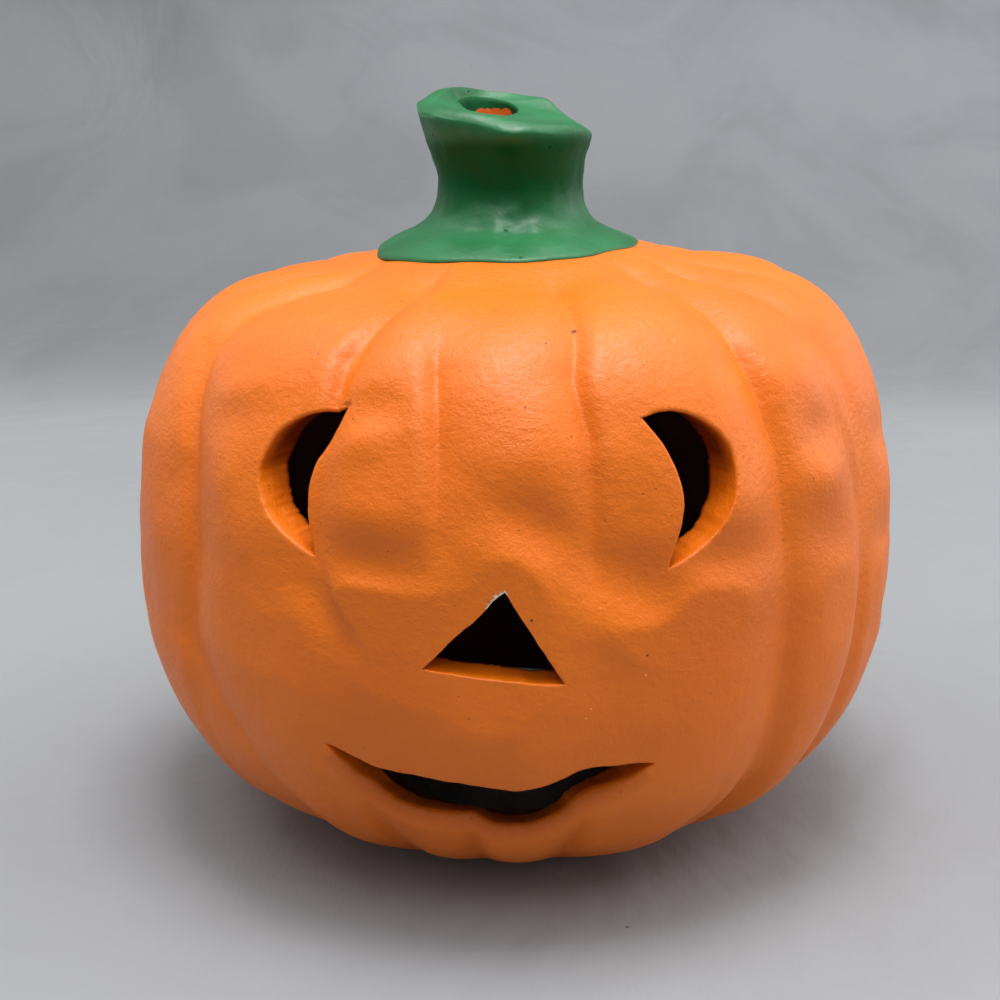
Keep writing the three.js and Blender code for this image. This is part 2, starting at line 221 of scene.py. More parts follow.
# Grooves round the body: belly bearing, depth share, how the bearing moves with the height, and
# over which heights the groove is deep
GROOVES = [
    (-22, 0.62, [(16, 3.5), (54, 4), (66, -1), (90, -1.5), (101, 0)],
     [(0, 0.9), (30, 0.35), (50, 0.35), (62, 0.9), (96, 1.2)]),
    (-5, 0.5, [(15, 1.5), (60, 0), (80, -1.7), (97, -4)],
     [(0, 1.3), (24, 0.6), (40, 0.0), (66, 0.0), (80, 0.7), (94, 0.9), (101, 0.2)]),
    (13, 0.62, [(16, 0), (68, 0), (85, 0), (94, -1.4), (103, 1)],
     [(0, 1.2), (26, 0.5), (40, 0.2), (60, 0.5), (80, 1.1), (100, 1)]),
    (43, 1.0, [(16, 1), (40, 0), (76, -1.5), (96, -2.5), (103, 0)], [(0, 1.1), (50, 0.9), (100, 0.8)]),
]
# Grooves beside and behind, which are plainer: belly bearing, depth share, how far the bearing
# moves low down, at the belly and at the top, and the depth at the top
BACK_GROOVES = [
    (62, 0.85, -2, 1, -1, 1),
    (81, 0.8, 1, -1, 2, 0.9),
    (101, 0.9, -1, 1, 0, 1),
    (124, 1.0, 1, 0, -2, 0.9),
    (149, 0.8, 0, 1, 1, 1),
    (172, 0.9, -2, 0, 1, 0.9),
    (196, 1.0, 1, -1, 0, 1),
    (219, 0.8, 0, 1, -1, 1),
    (242, 0.9, 1, 0, 2, 0.9),
    (262, 0.9, -1, 1, 0, 1),
    (284, 0.8, 1, 0, -2, 1),
]
GROOVES += [
    (bearing, share, [(20, low), (60, middle), (100, high)], [(0, 1), (100, top)])
    for bearing, share, low, middle, high, top in BACK_GROOVES
]
GROOVES.append(
    (311, 1.0, [(18, 14), (31, 9), (46, 0.5), (62, 2), (78, -1), (92, -7), (100, -9)],
     [(0, 0.9), (24, 0.6), (46, 1), (100, 1)])
)

# Sharp creases that end a lobe: belly bearing, how it moves with the height, which side is steep
# (-1 left, 1 right), and how deep it is by height
CREASES = [
    (-7, [(72, 0.5), (81, 0.3), (90, -0.5), (97, -2)], -1,
     [(66, 0), (76, 0.7), (86, 1), (95, 0.8), (101, 0)]),
    (13, [(68, 0), (85, -0.3), (94, -1.4), (103, 1.1)], 1,
     [(60, 0), (76, 0.5), (88, 1), (97, 0.8), (104, 0.1)]),
    (-23, [(86, 0), (90, -0.2), (96, -0.9), (101, 0.9)], -1, [(82, 0.2), (90, 1.1), (97, 0.9), (103, 0.1)]),
    (41, [(76, 0.5), (88, -0.1), (97, -0.6), (103, 1.8)], 1,
     [(60, 0.2), (78, 0.5), (90, 0.9), (99, 0.4), (103, 0)]),
    (-50, [(46, 1.5), (62, 3), (78, 0), (92, -6.8), (99, -20)], -1,
     [(30, 0.3), (60, 0.6), (88, 0.7), (97, 0)]),
    (60, [(40, 2.5), (68, 0.2), (81, -3.2), (96, -6)], 1, [(24, 0.4), (60, 0.7), (82, 0.8), (96, 0.1)]),
    (43, [(17, 2.7), (41, 0.3), (57, -0.4)], 1, [(10, 0.4), (17, 0.9), (30, 0.6), (58, 0.3), (64, 0)]),
    (-19, [(16, 0.3), (30, 0)], -1, [(8, 0.3), (15, 0.9), (30, 0)]),
    (-3.5, [(12, 0), (26, 0)], 1, [(8, 0.3), (14, 0.8), (24, 0)]),
    (13.3, [(12, 0), (26, 0)], 1, [(8, 0.3), (14, 0.8), (26, 0)]),
    (35.5, [(12, 0), (26, -1)], 1, [(8, 0.3), (15, 0.7), (28, 0)]),
]
CREASE_DEPTH = 1.15
# Widths of a crease's steep and gentle banks
STEEP_BANK = 1.5
GENTLE_BANK = 5.5

# Soft dents and swellings: bearing, height, half width, half height, lean, how far out
LUMPS = [
    (-14.6, 66.5, 8, 4.6, -8, -1.3),
    (-14.0, 60.5, 7, 3.6, -12, 0.75),
    (-15.5, 73.5, 8, 4.5, 0, 0.4),
    (6.2, 73.0, 7.0, 4.0, -30, -1.2),
    (2.8, 66.5, 7, 3.8, -30, 0.95),
    (4, 82, 7, 5, 0, 0.4),
    (17.5, 64.5, 9, 5.5, -25, -1.5),
    (19.0, 55.5, 8, 4.2, -10, 0.9),
    (31.0, 66.0, 9.0, 4.4, -6, -1.2),
    (28.5, 59.5, 7.5, 4.2, 0, 0.8),
    (34, 73, 5, 5, 0, 0.4),
    (-16.0, 58.6, 2.8, 9, 48, 0.8),
    (-20.5, 57.5, 2.6, 9, 48, -0.6),
    (-16.2, 89.5, 5, 3.4, 20, -0.75),
    (-18, 84.5, 5, 3.0, 20, 0.5),
    (-40, 90.0, 7, 2.8, 10, 0.45),
    (-40.5, 85.0, 7, 3.4, 10, -0.4),
    (-32, 57, 6, 8, 10, -0.4),
    (-39, 70, 5, 8, 0, 0.4),
    (-53, 73.5, 4, 5, 0, -0.5),
    (-56, 62, 4, 5, 0, 0.5),
    (-61, 50, 5, 8, 0, -0.5),
    (-66, 78, 4, 6, 0, 0.5),
    (-70, 62, 4, 6, 0, -0.5),
    (50.5, 81.0, 6, 4.4, 0, -1.2),
    (49, 74.5, 6, 4.0, 0, 0.8),
    (51, 65, 6, 4.5, 15, -0.6),
    (53, 55, 6, 5, 0, 0.5),
    (47, 90, 6, 4, 0, 0.5),
    (36.5, 93.5, 5, 3.2, 20, -0.5),
    (72, 76, 5, 4, 0, -0.9),
    (70, 60, 5, 4, 0, -1.1),
    (75, 46, 5, 4, 0, -0.8),
    (68, 42, 4, 4.0, 0, -0.5),
    (0, 14, 14, 5, 0, 0.4),
    (28, 24, 8, 6, 0, 0.5),
    (-10, 26, 7, 4, 0, 0.3),
]


# Unevenness of the cast surface: height, width and seed of each layer
UNEVEN = ((0.42, 17.0, 11), (0.25, 8.5, 12), (0.05, 3.2, 13))


def degrees_from(bearing, angle):
    return (angle / DEG - bearing + 180) % 360 - 180


def groove_dip(angle, z):
    """0 on a lobe's crest, up to about 1 in a groove, and the narrow crease at its bottom."""
    degrees = angle / DEG
    count = len(GROOVES)
    bearing = np.array([g[0] + np.interp(z, *zip(*g[2])) for g in GROOVES])
    depth = np.array([g[1] * np.interp(z, *zip(*g[3])) for g in GROOVES])
    dip = np.zeros_like(degrees)
    crease = np.zeros_like(degrees)
    for i in range(count):
        j = (i + 1) % count
        start, end = bearing[i], bearing[j] + (360 if j == 0 else 0)
        turned = (degrees - start) % 360
        width = end - start
        inside = turned < width
        u = np.clip(turned / width, 0, 1)
        mixed = depth[i] + (depth[j] - depth[i]) * u
        near = 1 - np.abs(2 * u - 1)
        eased = np.sqrt(near**2 + 0.11**2) - 0.11
        dip = np.where(inside, mixed * (1 - eased) ** 2.4, dip)
        away = np.minimum(turned, width - turned) * DEG * RADIUS
        nearer = np.where(u < 0.5, depth[i], depth[j])
        crease = np.where(inside, nearer * np.exp(-((away / 1.1) ** 2)), crease)
    return dip, crease


def crease_bank(x):
    """The shape across a crease: its steep bank lies at x above 0, and a swell beyond it."""
    banks = np.where(x > 0, np.exp(-((x / STEEP_BANK) ** 2)), np.exp(-np.abs(x) / GENTLE_BANK))
    return banks - 0.3 * np.exp(-(((x - 3.2) / 2.0) ** 2))


def relief(angle, s):
    """How far the real surface stands out from the plain round body, in millimetres."""
    r, z = OUTSIDE.at(s)
    plain = np.where(z > BELLY, SKIRT + 2 * SKIRT_WAVE - 4, FOOT)
    fade = ramp(r, plain, plain + GROOVE_RUNOUT)
    dip, crease = groove_dip(angle, z)
    out = -fade * (GROOVE_DEPTH * dip + 0.15 * crease)
    for bearing, wander, side, depth in CREASES:
        line = bearing + np.interp(z, *zip(*wander))
        x = degrees_from(line, angle) * DEG * np.maximum(r, FOOT) * side
        out = out - CREASE_DEPTH * fade * np.interp(z, *zip(*depth)) * crease_bank(x)
    for bearing, height, half_x, half_z, lean, far in LUMPS:
        x = degrees_from(bearing, angle) * DEG * RADIUS
        y = s - OUTSIDE.s_of_z(height)
        c, n = math.cos(lean * DEG), math.sin(lean * DEG)
        u, v = (x * c + y * n) / half_x, (-x * n + y * c) / half_z
        out = out + far * np.exp(-(u * u + v * v))
    return out + ramp(r, FOOT, FOOT + 8) * layered_noise(on_bearing(angle, r, z), UNEVEN)


def tilt_crown(p):
    share = ramp(p[:, 2], BELLY, CROWN)
    p[:, 2] += share * p[:, 0] * math.tan(CROWN_TILT * DEG)
    return p


def outside_points(angle, s, lowered=0.0):
    r, z = OUTSIDE.at(s)
    nr, nz = OUTSIDE.normal(s)
    out = relief(angle, s) - lowered
    out = np.minimum(out, (REACH - r) / np.maximum(nr, 0.05))
    return tilt_crown(on_bearing(angle, r + nr * out, z + nz * out * ramp(z, 1, 12)))


def inside_points(angle, s):
    r, z = INSIDE.at(s)
    p = on_bearing(angle, r, z)
    nr, nz = INSIDE.normal(s)
    wave = 0.35 * soft_noise(p, 12.0, 21) * ramp(r, OPENING, OPENING + 8)
    dip = groove_dip(angle, z)[0]
    fade = ramp(r, SKIRT + 4, SKIRT + 24) * ramp(r, OPENING, OPENING + 12)
    wave = wave - GROOVE_DEPTH * fade * dip
    return tilt_crown(on_bearing(angle, r + nr * wave, z + nz * wave * ramp(z, 7, 14)))


# Carved openings as bearing and height, counter-clockwise as the face is seen, side by side
LEFT_EYE = [
    [(-21.1, 89.5), (-24.5, 88.7), (-27.8, 87.4), (-30.6, 84.9), (-32.0, 81.8),
     (-32.6, 78.2), (-31.8, 74.9), (-30.2, 71.8), (-27.2, 69.0), (-23.4, 66.4)],
    [(-23.4, 66.4), (-24.1, 70.5), (-24.7, 74.6), (-24.8, 78.3), (-24.2, 81.5),
     (-22.9, 84.8), (-21.1, 89.5)],
]
RIGHT_EYE = [
    [(22.5, 65.6), (27.3, 68.5), (30.1, 71.4), (31.9, 74.6), (32.8, 77.9), (32.6, 81.2),
     (31.2, 84.0), (29.0, 86.0), (26.2, 87.4), (23.2, 87.9), (20.1, 87.4)],
    [(20.1, 87.4), (21.8, 84.9), (23.4, 81.7), (24.4, 78.3), (24.6, 75.2), (24.1, 71.7),
     (23.3, 68.6), (22.5, 65.6)],
]
NOSE = [
    [(-8.3, 51.0), (0.5, 49.7), (9.2, 48.9)],
    [(9.2, 48.9), (5.6, 56.2), (1.9, 63.6)],
    [(1.9, 63.6), (0.3, 62.0), (-3.4, 57.1), (-8.3, 51.0)],
]
MOUTH = [
    [(-22.6, 35.6), (-20.6, 31.2), (-18.6, 27.6), (-16.2, 24.4), (-12.5, 22.3), (-7.5, 21.0),
     (-3.4, 19.2), (1.0, 17.9), (5.5, 18.4), (9.8, 21.0), (12.4, 24.8), (16.2, 28.1),
     (18.9, 30.3), (21.9, 33.5)],
    [(21.9, 33.5), (18.3, 33.6), (14.2, 33.8), (11.6, 33.4), (9.8, 32.5), (7.2, 31.2),
     (4.6, 30.5), (1.5, 30.4), (-2.7, 30.8), (-7.4, 31.6), (-12.0, 32.2), (-16.7, 32.9),
     (-22.6, 35.6)],
]
# Each opening's sides, with the roundness of each side's edge in millimetres
OPENINGS = [
    (LEFT_EYE, (0.45, 0.35)),
    (RIGHT_EYE, (0.45, 0.35)),
    (NOSE, (0.45, 0.3, 0.3)),
    (MOUTH, (2.8, 0.45)),
]
# Only the mouth's lower lip is rounder than this
SOFT_LIP = 0.6
# Only the mouth lies lower than this
MOUTH_TOP = 40
# How much a knife's edge wavers: height, width and seed of each layer
KNIFE_WAVER = ((0.16, 4.0, 31), (0.05, 1.2, 32))
OUTLINE_STEP = 0.36


def outline(sides, rounds):
    """Points round an opening in the flattened surface (x, s), with the edge's roundness at each
    and how far each is from a corner, from 0 to 1."""
    points, rounding, tips = [], [], []
    for side, rho in zip(sides, rounds):
        flat = np.array([flattened(bearing, height) for bearing, height in side])
        length = np.sum(np.linalg.norm(np.diff(flat, axis=0), axis=1))
        count = max(6, int(length / OUTLINE_STEP))
        points.append(smooth_curve(flat, count + 1)[:-1])
        share = np.arange(count) / count
        ends = np.minimum(share, 1 - share) * length
        rounding.append(np.minimum(rho, 0.12 + 0.22 * ends))
        tips.append(ramp(ends, 0.8, 3.5))
    points, rounding, tips = np.vstack(points), np.concatenate(rounding), np.concatenate(tips)
    wobble = np.column_stack([points, np.zeros(len(points))])
    ahead = np.roll(points, -1, axis=0) - np.roll(points, 1, axis=0)
    normal = np.stack([ahead[:, 1], -ahead[:, 0]], 1) / np.linalg.norm(ahead, axis=1, keepdims=True)
    points = points + normal * layered_noise(wobble, KNIFE_WAVER)[:, None] * tips[:, None]
    return points, rounding, tips


def inside_loop(points, loop):
    result = np.zeros(len(points), bool)
    a, b = loop, np.roll(loop, -1, axis=0)
    for (x0, y0), (x1, y1) in zip(a, b):
        crosses = (y0 > points[:, 1]) != (y1 > points[:, 1])
        if y0 != y1:
            result ^= crosses & (points[:, 0] < (x1 - x0) * (points[:, 1] - y0) / (y1 - y0) + x0)
    return result


def loop_distance(points, loop):
    """Distance from each point to the loop, and the nearest loop vertex."""
    best = np.full(len(points), 1e9)
    index = np.zeros(len(points), int)
    b = np.roll(loop, -1, axis=0)
    for i in range(len(loop)):
        d = b[i] - loop[i]
        t = np.clip(((points - loop[i]) @ d) / (d @ d), 0, 1)
        gap = np.linalg.norm(points - loop[i] - t[:, None] * d, axis=1)
        closer = gap < best
        best[closer] = gap[closer]
        index[closer] = (i + (t[closer] > 0.5)) % len(loop)
    return best, index


def outward(loop):
    """Directions out of the opening, before and after each of its points."""
    ahead = np.roll(loop, -1, axis=0) - loop
    ahead /= np.linalg.norm(ahead, axis=1, keepdims=True)
    normal = np.stack([ahead[:, 1], -ahead[:, 0]], 1)
    return np.roll(normal, 1, axis=0), normal


def ring_points(loop, offset):
    before, after = outward(loop)
    points = []
    for p, n0, n1 in zip(loop, before, after):
        turn = math.atan2(n0[0] * n1[1] - n0[1] * n1[0], n0 @ n1)
        steps = max(1, int(abs(turn) * max(offset, 0.4) / 0.3))
        a0 = math.atan2(n0[1], n0[0])
        for k in range(steps):
            a = a0 + turn * (k + 0.5) / steps
            points.append(p + offset * np.array([math.cos(a), math.sin(a)]))
    points = np.array(points)
    keep = [0]
    for i in range(1, len(points)):
        if np.linalg.norm(points[i] - points[keep[-1]]) > 0.32 + 0.3 * offset:
            keep.append(i)
    points = points[keep]
    gap, _ = loop_distance(points, loop)
    return points[(gap > offset * 0.97) & ~inside_loop(points, loop)]


def window_faces(border, loops, free):
    """Triangles between a border and the openings, over points listed in that order."""
    points = np.vstack([border] + loops + [free])
    edges, start = [], 0
    for ring in [border] + loops:
        n = len(ring)
        edges += [(start + i, start + (i + 1) % n) for i in range(n)]
        start += n
    result = delaunay_2d_cdt([Vector(p) for p in points.tolist()], edges, [], 0, 1e-6, True)
    origin = [o[0] if o else -1 for o in result[3]]
    faces = np.array([[origin[i] for i in f] for f in result[2]])
    if (faces < 0).any():
        raise RuntimeError("an opening's outline crosses itself")
    middle = points[faces].mean(axis=1)
    keep = np.ones(len(faces), bool)
    for ring in loops:
        keep &= ~inside_loop(middle, ring)
    faces = faces[keep]
    a, b, c = points[faces[:, 0]], points[faces[:, 1]], points[faces[:, 2]]
    area = (b[:, 0] - a[:, 0]) * (c[:, 1] - a[:, 1]) - (b[:, 1] - a[:, 1]) * (c[:, 0] - a[:, 0])
    faces[area < 0] = faces[area < 0][:, ::-1]
    return points, faces[np.abs(area) > 1e-9]


# Distances from a crease's line of its rows of points, towards the steep side
CREASE_OFFSETS = (-2.6, -1.7, -1.0, -0.5, -0.2, 0, 0.35, 0.75, 1.15, 1.6, 2.2)
# Distance between the points of a row, and the size of the cells that hold one point each
CREASE_STEP = 0.6
CREASE_CELL = 0.2
# How far loose points stay from a crease's line
CREASE_CLEAR = 2.3
# How far loose points are shifted, as a share of the distance between them
SHIFT = 0.12


def crease_points(x0, x1, s0, s1, loops, clear):
    """Rows of points along the creases, and those creases as lines in the flattened surface."""
    rows, lines = [], []
    for bearing, wander, side, depth in CREASES:
        s = np.arange(s0 + CREASE_STEP, s1 - 0.5, CREASE_STEP)
        z = OUTSIDE.at(s)[1]
        s = s[np.interp(z, *zip(*depth)) > 0.08]
        if len(s) < 4:
            continue
        z = OUTSIDE.at(s)[1]
        x = (bearing + np.interp(z, *zip(*wander))) * DEG * RADIUS
        for offset in CREASE_OFFSETS:
            rows.append(np.stack([x + side * offset, s], 1))
        lines.append(np.stack([x, s], 1))
    points = np.vstack(rows)
    points = points[(points[:, 0] > x0 + CREASE_STEP) & (points[:, 0] < x1 - CREASE_STEP)]
    for loop in loops:
        gap, _ = loop_distance(points, loop)
        points = points[(gap > clear) & ~inside_loop(points, loop)]
    keep = np.ones(len(points), bool)
    taken = set()
    for i, (px, ps) in enumerate(points):
        cell = (int(px / CREASE_CELL), int(ps / CREASE_CELL))
        keep[i] = cell not in taken
        taken.add(cell)
    return points[keep], lines


def free_points(x0, x1, s0, s1, step, loops, clear, seed, lines=()):
    rng = np.random.default_rng(seed)
    rows = []
    for k, s in enumerate(np.arange(s0 + step * 0.7, s1 - step * 0.5, step * 0.866)):
        x = np.arange(x0 + step * (0.6 if k % 2 else 1.1), x1 - step * 0.5, step)
        rows.append(np.stack([x, np.full(len(x), s)], 1))
    points = np.vstack(rows)
    points += rng.uniform(-SHIFT, SHIFT, points.shape) * step
    for loop in loops:
        low, high = loop.min(axis=0) - clear - 1, loop.max(axis=0) + clear + 1
        near = np.all((points > low) & (points < high), axis=1)
        gap, _ = loop_distance(points[near], loop)
        bad = (gap < clear) | inside_loop(points[near], loop)
        index = np.where(near)[0]
        points = np.delete(points, index[bad], axis=0)
    for line in lines:
        x = np.interp(points[:, 1], line[:, 1], line[:, 0])
        on = (points[:, 1] > line[0, 1]) & (points[:, 1] < line[-1, 1])
        points = points[~(on & (np.abs(points[:, 0] - x) < CREASE_CLEAR))]
    return points


def skin(profile, columns, rows, low_z, high_z, loops, free, place):
    """A grid round the body with a triangulated window for the face: the grid's points, the
    window's points flattened, the openings' first, and all faces."""
    s_rows = np.linspace(0, profile.length, rows)
    angles = np.arange(columns) * (360 / columns) * DEG
    half = int(round(FACE_HALF_ANGLE / (360 / columns)))
    lo = int(np.searchsorted(s_rows, profile.s_of_z(low_z)))
    hi = int(np.searchsorted(s_rows, profile.s_of_z(high_z)))
    aa, ss = np.meshgrid(angles, s_rows)
    base = place(aa.ravel(), ss.ravel())
    faces = []
    for number, face in enumerate(grid_faces(rows, columns)):
        i, j = divmod(number, columns)
        if not (lo <= i < hi and (j < half or j >= columns - half)):
            faces.append(face)
    step = 360 / columns * DEG
    ring = [(lo, j) for j in range(-half, half)] + [(i, half) for i in range(lo, hi)]
    ring += [(hi, j) for j in range(half, -half, -1)] + [(i, -half) for i in range(hi, lo, -1)]
    border = np.array([[j * step * RADIUS, s_rows[i]] for i, j in ring])
    border_ids = np.array([i * columns + (j % columns) for i, j in ring])
    edge = half * step * RADIUS
    flat, triangles = window_faces(border, loops, free(-edge, edge, s_rows[lo], s_rows[hi]))
    extra = flat[len(border):]
    ids = np.concatenate([border_ids, len(base) + np.arange(len(extra))])
    return base, extra, faces + ids[triangles].tolist()


# Node helpers
class Nodes:
    # Round a spot, in its radii: how ragged its edge is, where the edge lies and how soft it is
    RAGGED = 1.6
    EDGE = 1.8
    SOFT = 0.35

    def __init__(self, name):
        self.material = bpy.data.materials.new(name)
        self.material.use_nodes = True
        self.tree = self.material.node_tree
        self.tree.nodes.clear()
        output = self.node("OutputMaterial")
        self.shader = self.node("BsdfPrincipled")
        self.tree.links.new(self.shader.outputs[0], output.inputs[0])
        self.coords = self.node("TexCoord").outputs["Object"]
        self.rough = None

    def put(self, socket, value):
        if isinstance(value, bpy.types.NodeSocket):
            self.tree.links.new(value, socket)
        else:
            socket.default_value = value

    def fill(self, node, inputs):
        """Gives a node's inputs their values; their names have _ where Blender has a space."""
        for key, value in inputs.items():
            self.put(node.inputs[key.replace("_", " ")], value)

    def node(self, kind, **inputs):
        node = self.tree.nodes.new("ShaderNode" + kind)
        self.fill(node, inputs)
        return node

    def set(self, **inputs):
        self.fill(self.shader, inputs)

    def scaled(self, scale):
        return self.node("Mapping", Vector=self.coords, Scale=scale).outputs[0]

    def noise(self, scale, detail=2.0, roughness=0.5, vector=None, distortion=0.0):
        node = self.node("TexNoise", Vector=vector or self.coords, Scale=scale, Detail=detail)
        self.fill(node, {"Roughness": roughness, "Distortion": distortion})
        return node.outputs["Fac"]

    def steps(self, value, low, high, out_low=0.0, out_high=1.0):
        node = self.node("MapRange", Value=value, From_Min=low, From_Max=high)
        self.fill(node, {"To_Min": out_low, "To_Max": out_high})
        node.interpolation_type = "SMOOTHSTEP"
        return node.outputs[0]

    def math(self, kind, *values):
        node = self.node("Math")
        node.operation = kind
        for socket, value in zip(node.inputs, values):
            self.put(socket, value)
        return node.outputs[0]

    def times(self, a, b):
        return self.math("MULTIPLY", a, b)

    def mix(self, share, a, b):
        node = self.node("Mix")
        node.data_type = "RGBA"
        for index, value in ((0, share), (6, a), (7, b)):
            self.put(node.inputs[index], value)
        return node.outputs[2]

    def mottled(self, noise, a, b):
        return self.mix(self.steps(noise, 0.3, 0.7), a, b)

    def uneven(self, value, scale, detail, far):
        return self.math("ADD", value, self.steps(self.noise(scale, detail), 0.3, 0.7, -far, far))

    def attribute(self, name):
        node = self.node("Attribute")
        node.attribute_name = name
        return node.outputs["Fac"]

    def near(self, point, radius):
        """1 within a ragged spot round a point in millimetres, falling to 0 outside."""
        node = self.node("VectorMath")
        node.operation = "DISTANCE"
        self.put(node.inputs[0], self.coords)
        self.put(node.inputs[1], [v * MM for v in point])
        if self.rough is None:
            self.rough = self.noise(1700, 1.0)
        radius = radius * MM
        wide = self.math("MULTIPLY_ADD", self.rough, radius * self.RAGGED, node.outputs["Value"])
        return self.steps(wide, radius * (self.EDGE + self.SOFT), radius * (self.EDGE - self.SOFT))

    def pinholes(self, scale, wide, narrow, patches, share):
        """1 in the pinholes: small round spots, of which a coarser noise picks some."""
        spots = self.node("TexVoronoi", Vector=self.coords, Scale=scale).outputs["Distance"]
        chosen = self.math("GREATER_THAN", self.noise(patches, 0.0), share)
        return self.times(self.steps(spots, wide, narrow), chosen)

    def bumps(self, *layers):
        """The shader's normal from bumps over each other: height, strength and distance of each."""
        normal = None
        for height, strength, distance in layers:
            node = self.node("Bump", Strength=strength, Distance=distance, Height=height)
            if normal is not None:
                self.put(node.inputs["Normal"], normal)
            normal = node.outputs[0]
        self.set(Normal=normal)


def rgb(r, g, b):
    """A colour as a screen shows it, 0 to 255, made linear."""
    def one(v):
        v /= 255
        return v / 12.92 if v <= 0.04045 else ((v + 0.055) / 1.055) ** 2.4
    return (one(r), one(g), one(b), 1.0)


def surface_point(bearing, height):
    s = OUTSIDE.s_of_z(np.array([float(height)]))
    return outside_points(np.array([bearing * DEG]), s)[0]


# Paint
# Single specks in the orange paint: bearing, height, radius
DARK_SPECKS = [
    (13.4, 99.9, 0.4),
    (4.4, 89.5, 0.2),
    (5.1, 59.3, 0.2),
    (19.5, 52.7, 0.16),
    (8.0, 98.0, 0.14),
    (-29, 96, 0.18),
]
PALE_SPECKS = [
    (19.4, 49.5, 0.14),
    (12.6, 44.5, 0.1),
    (12.0, 43.0, 0.1),
    (13.6, 60.5, 0.1),
]


def orange_paint():
    n = Nodes("orange_paint")
    broad = n.noise(28, 3.0, 0.55)
    fine = n.noise(900, 3.0, 0.6)
    grain = n.noise(2600, 2.0, 0.6)
    base = n.mottled(broad, rgb(224, 107, 3), rgb(234, 115, 4))
    base = n.mix(n.steps(fine, 0.55, 0.8, 0.0, 0.22), base, rgb(212, 92, 8))
    holes = n.pinholes(420, 0.075, 0.04, 170, 0.6)
    # Painted shade in the pinholes' pits
    base = n.mix(n.times(holes, 0.6), base, rgb(140, 60, 12))
    for specks, colour in ((DARK_SPECKS, rgb(110, 44, 8)), (PALE_SPECKS, rgb(252, 176, 92))):
        for bearing, height, radius in specks:
            base = n.mix(n.near(surface_point(bearing, height), radius), base, colour)
    # Darker, dirtier paint where the edge is chipped
    chipped = n.uneven(n.attribute("chip"), 1500, 2.0, 0.35)
    base = n.mix(n.steps(chipped, 0.45, 0.7, 0.0, 0.55), base, rgb(168, 84, 24))
    # Painted shade on the cut walls and along the mouth's lower lip
    base = n.mix(n.times(n.attribute("under"), 0.85), base, rgb(112, 33, 7))
    # The pale line beside the nose
    sliver = n.uneven(n.attribute("sliver"), 900, 1.0, 0.14)
    base = n.mix(n.steps(sliver, 0.5, 0.7), base, rgb(226, 206, 178))
    n.set(Base_Color=base, Roughness=n.steps(fine, 0.3, 0.75, 0.4, 0.52), Specular_IOR_Level=0.42)
    # Fine tooth, brush drag and scratches
    drag = n.noise(240, 2.0, 0.6, vector=n.scaled((1.0, 1.0, 0.16)))
    scratch = n.noise(1500, 1.0, 0.5, vector=n.scaled((0.35, 1.0, 1.3)))
    patch = n.steps(n.noise(60, 1.0), 0.52, 0.66)
    scratches = n.times(n.steps(scratch, 0.60, 0.68), patch)
    peel = n.noise(330, 2.0, 0.55)
    n.bumps(
        (grain, 0.35, 0.00025),
        (fine, 0.5, 0.0003),
        (peel, 0.22, 0.0007),
        (drag, 0.12, 0.0006),
        (scratches, 0.3, 0.00012),
        (n.times(holes, -1.0), 0.7, 0.0003),
    )
    return n.material


def inner_clay():
    n = Nodes("inner_clay")
    soot = n.noise(45, 3.0, 0.6)
    base = n.mottled(soot, (0.24, 0.075, 0.03, 1), (0.33, 0.105, 0.045, 1))
    n.set(Base_Color=base, Roughness=0.85)
    n.bumps((n.noise(700, 3.0), 0.5, 0.0004))
    return n.material


def bare_clay():
    n = Nodes("bare_clay")
    base = n.mottled(n.noise(160, 4.0, 0.6), rgb(206, 190, 168), rgb(228, 216, 198))
    base = n.mix(n.steps(n.noise(520, 2.0), 0.62, 0.72, 0.0, 0.6), base, rgb(216, 122, 44))
    n.set(Base_Color=base, Roughness=0.82)
    n.bumps((n.noise(1300, 3.0), 0.4, 0.0003))
    return n.material


def green_paint():
    n = Nodes("green_paint")
    broad = n.noise(70, 3.0, 0.6)
    fine = n.noise(700, 3.0, 0.6)
    stem_painted_shade = n.attribute("stem_painted_shade")
    base = n.mottled(broad, rgb(8, 92, 42), rgb(16, 108, 56))
    # Painted shade on the flank below the rim, most in front, and in the vent
    base = n.mix(n.times(stem_painted_shade, 0.68), base, rgb(2, 64, 22))
    base = n.mix(n.times(n.attribute("thin"), 0.15), base, rgb(38, 66, 18))
    smeared = n.uneven(n.attribute("smear"), 420, 2.0, 0.4)
    base = n.mix(n.steps(smeared, 0.5, 0.6), base, rgb(214, 96, 36))
    pits = n.pinholes(300, 0.11, 0.06, 130, 0.57)
    # Painted shade in the pits
    base = n.mix(n.times(pits, 0.8), base, rgb(10, 46, 20))
    n.set(Base_Color=base, Roughness=n.steps(broad, 0.3, 0.7, 0.4, 0.5))
    n.set(Specular_IOR_Level=n.math("SUBTRACT", 0.52, n.times(stem_painted_shade, 0.4)))
    n.bumps((fine, 0.35, 0.0003), (n.noise(190, 2.0), 0.22, 0.0008), (n.times(pits, -1.0), 0.8, 0.0004))
    return n.material


ORANGE = orange_paint()
CLAY_INSIDE = inner_clay()
CLAY_BARE = bare_clay()
GREEN = green_paint()


# Shell of the pumpkin
# Columns and rows of each surface's grid, and the heights between which the face's window lies
OUTER_GRID = (300, 150, 10, 102.3)
INNER_GRID = (120, 70, 14, 90)
# In the window: how far apart loose points are, and how far they stay from the openings
OUTER_STEP = 0.85
OUTER_CLEAR = 3.3
INNER_STEP = 2.4
INNER_CLEAR = 2.6
# Distances from an opening's edge of the rings of points round it
OUTER_RINGS = (0.09, 0.2, 0.36, 0.6, 0.95, 1.4, 2.0, 2.7)
INNER_RINGS = (0.7, 1.6)
WALL_STEPS = 9
FOOT_ROWS = 6
# Places in the shell's list of materials
PAINTED, INNER, BARE = 0, 1, 2
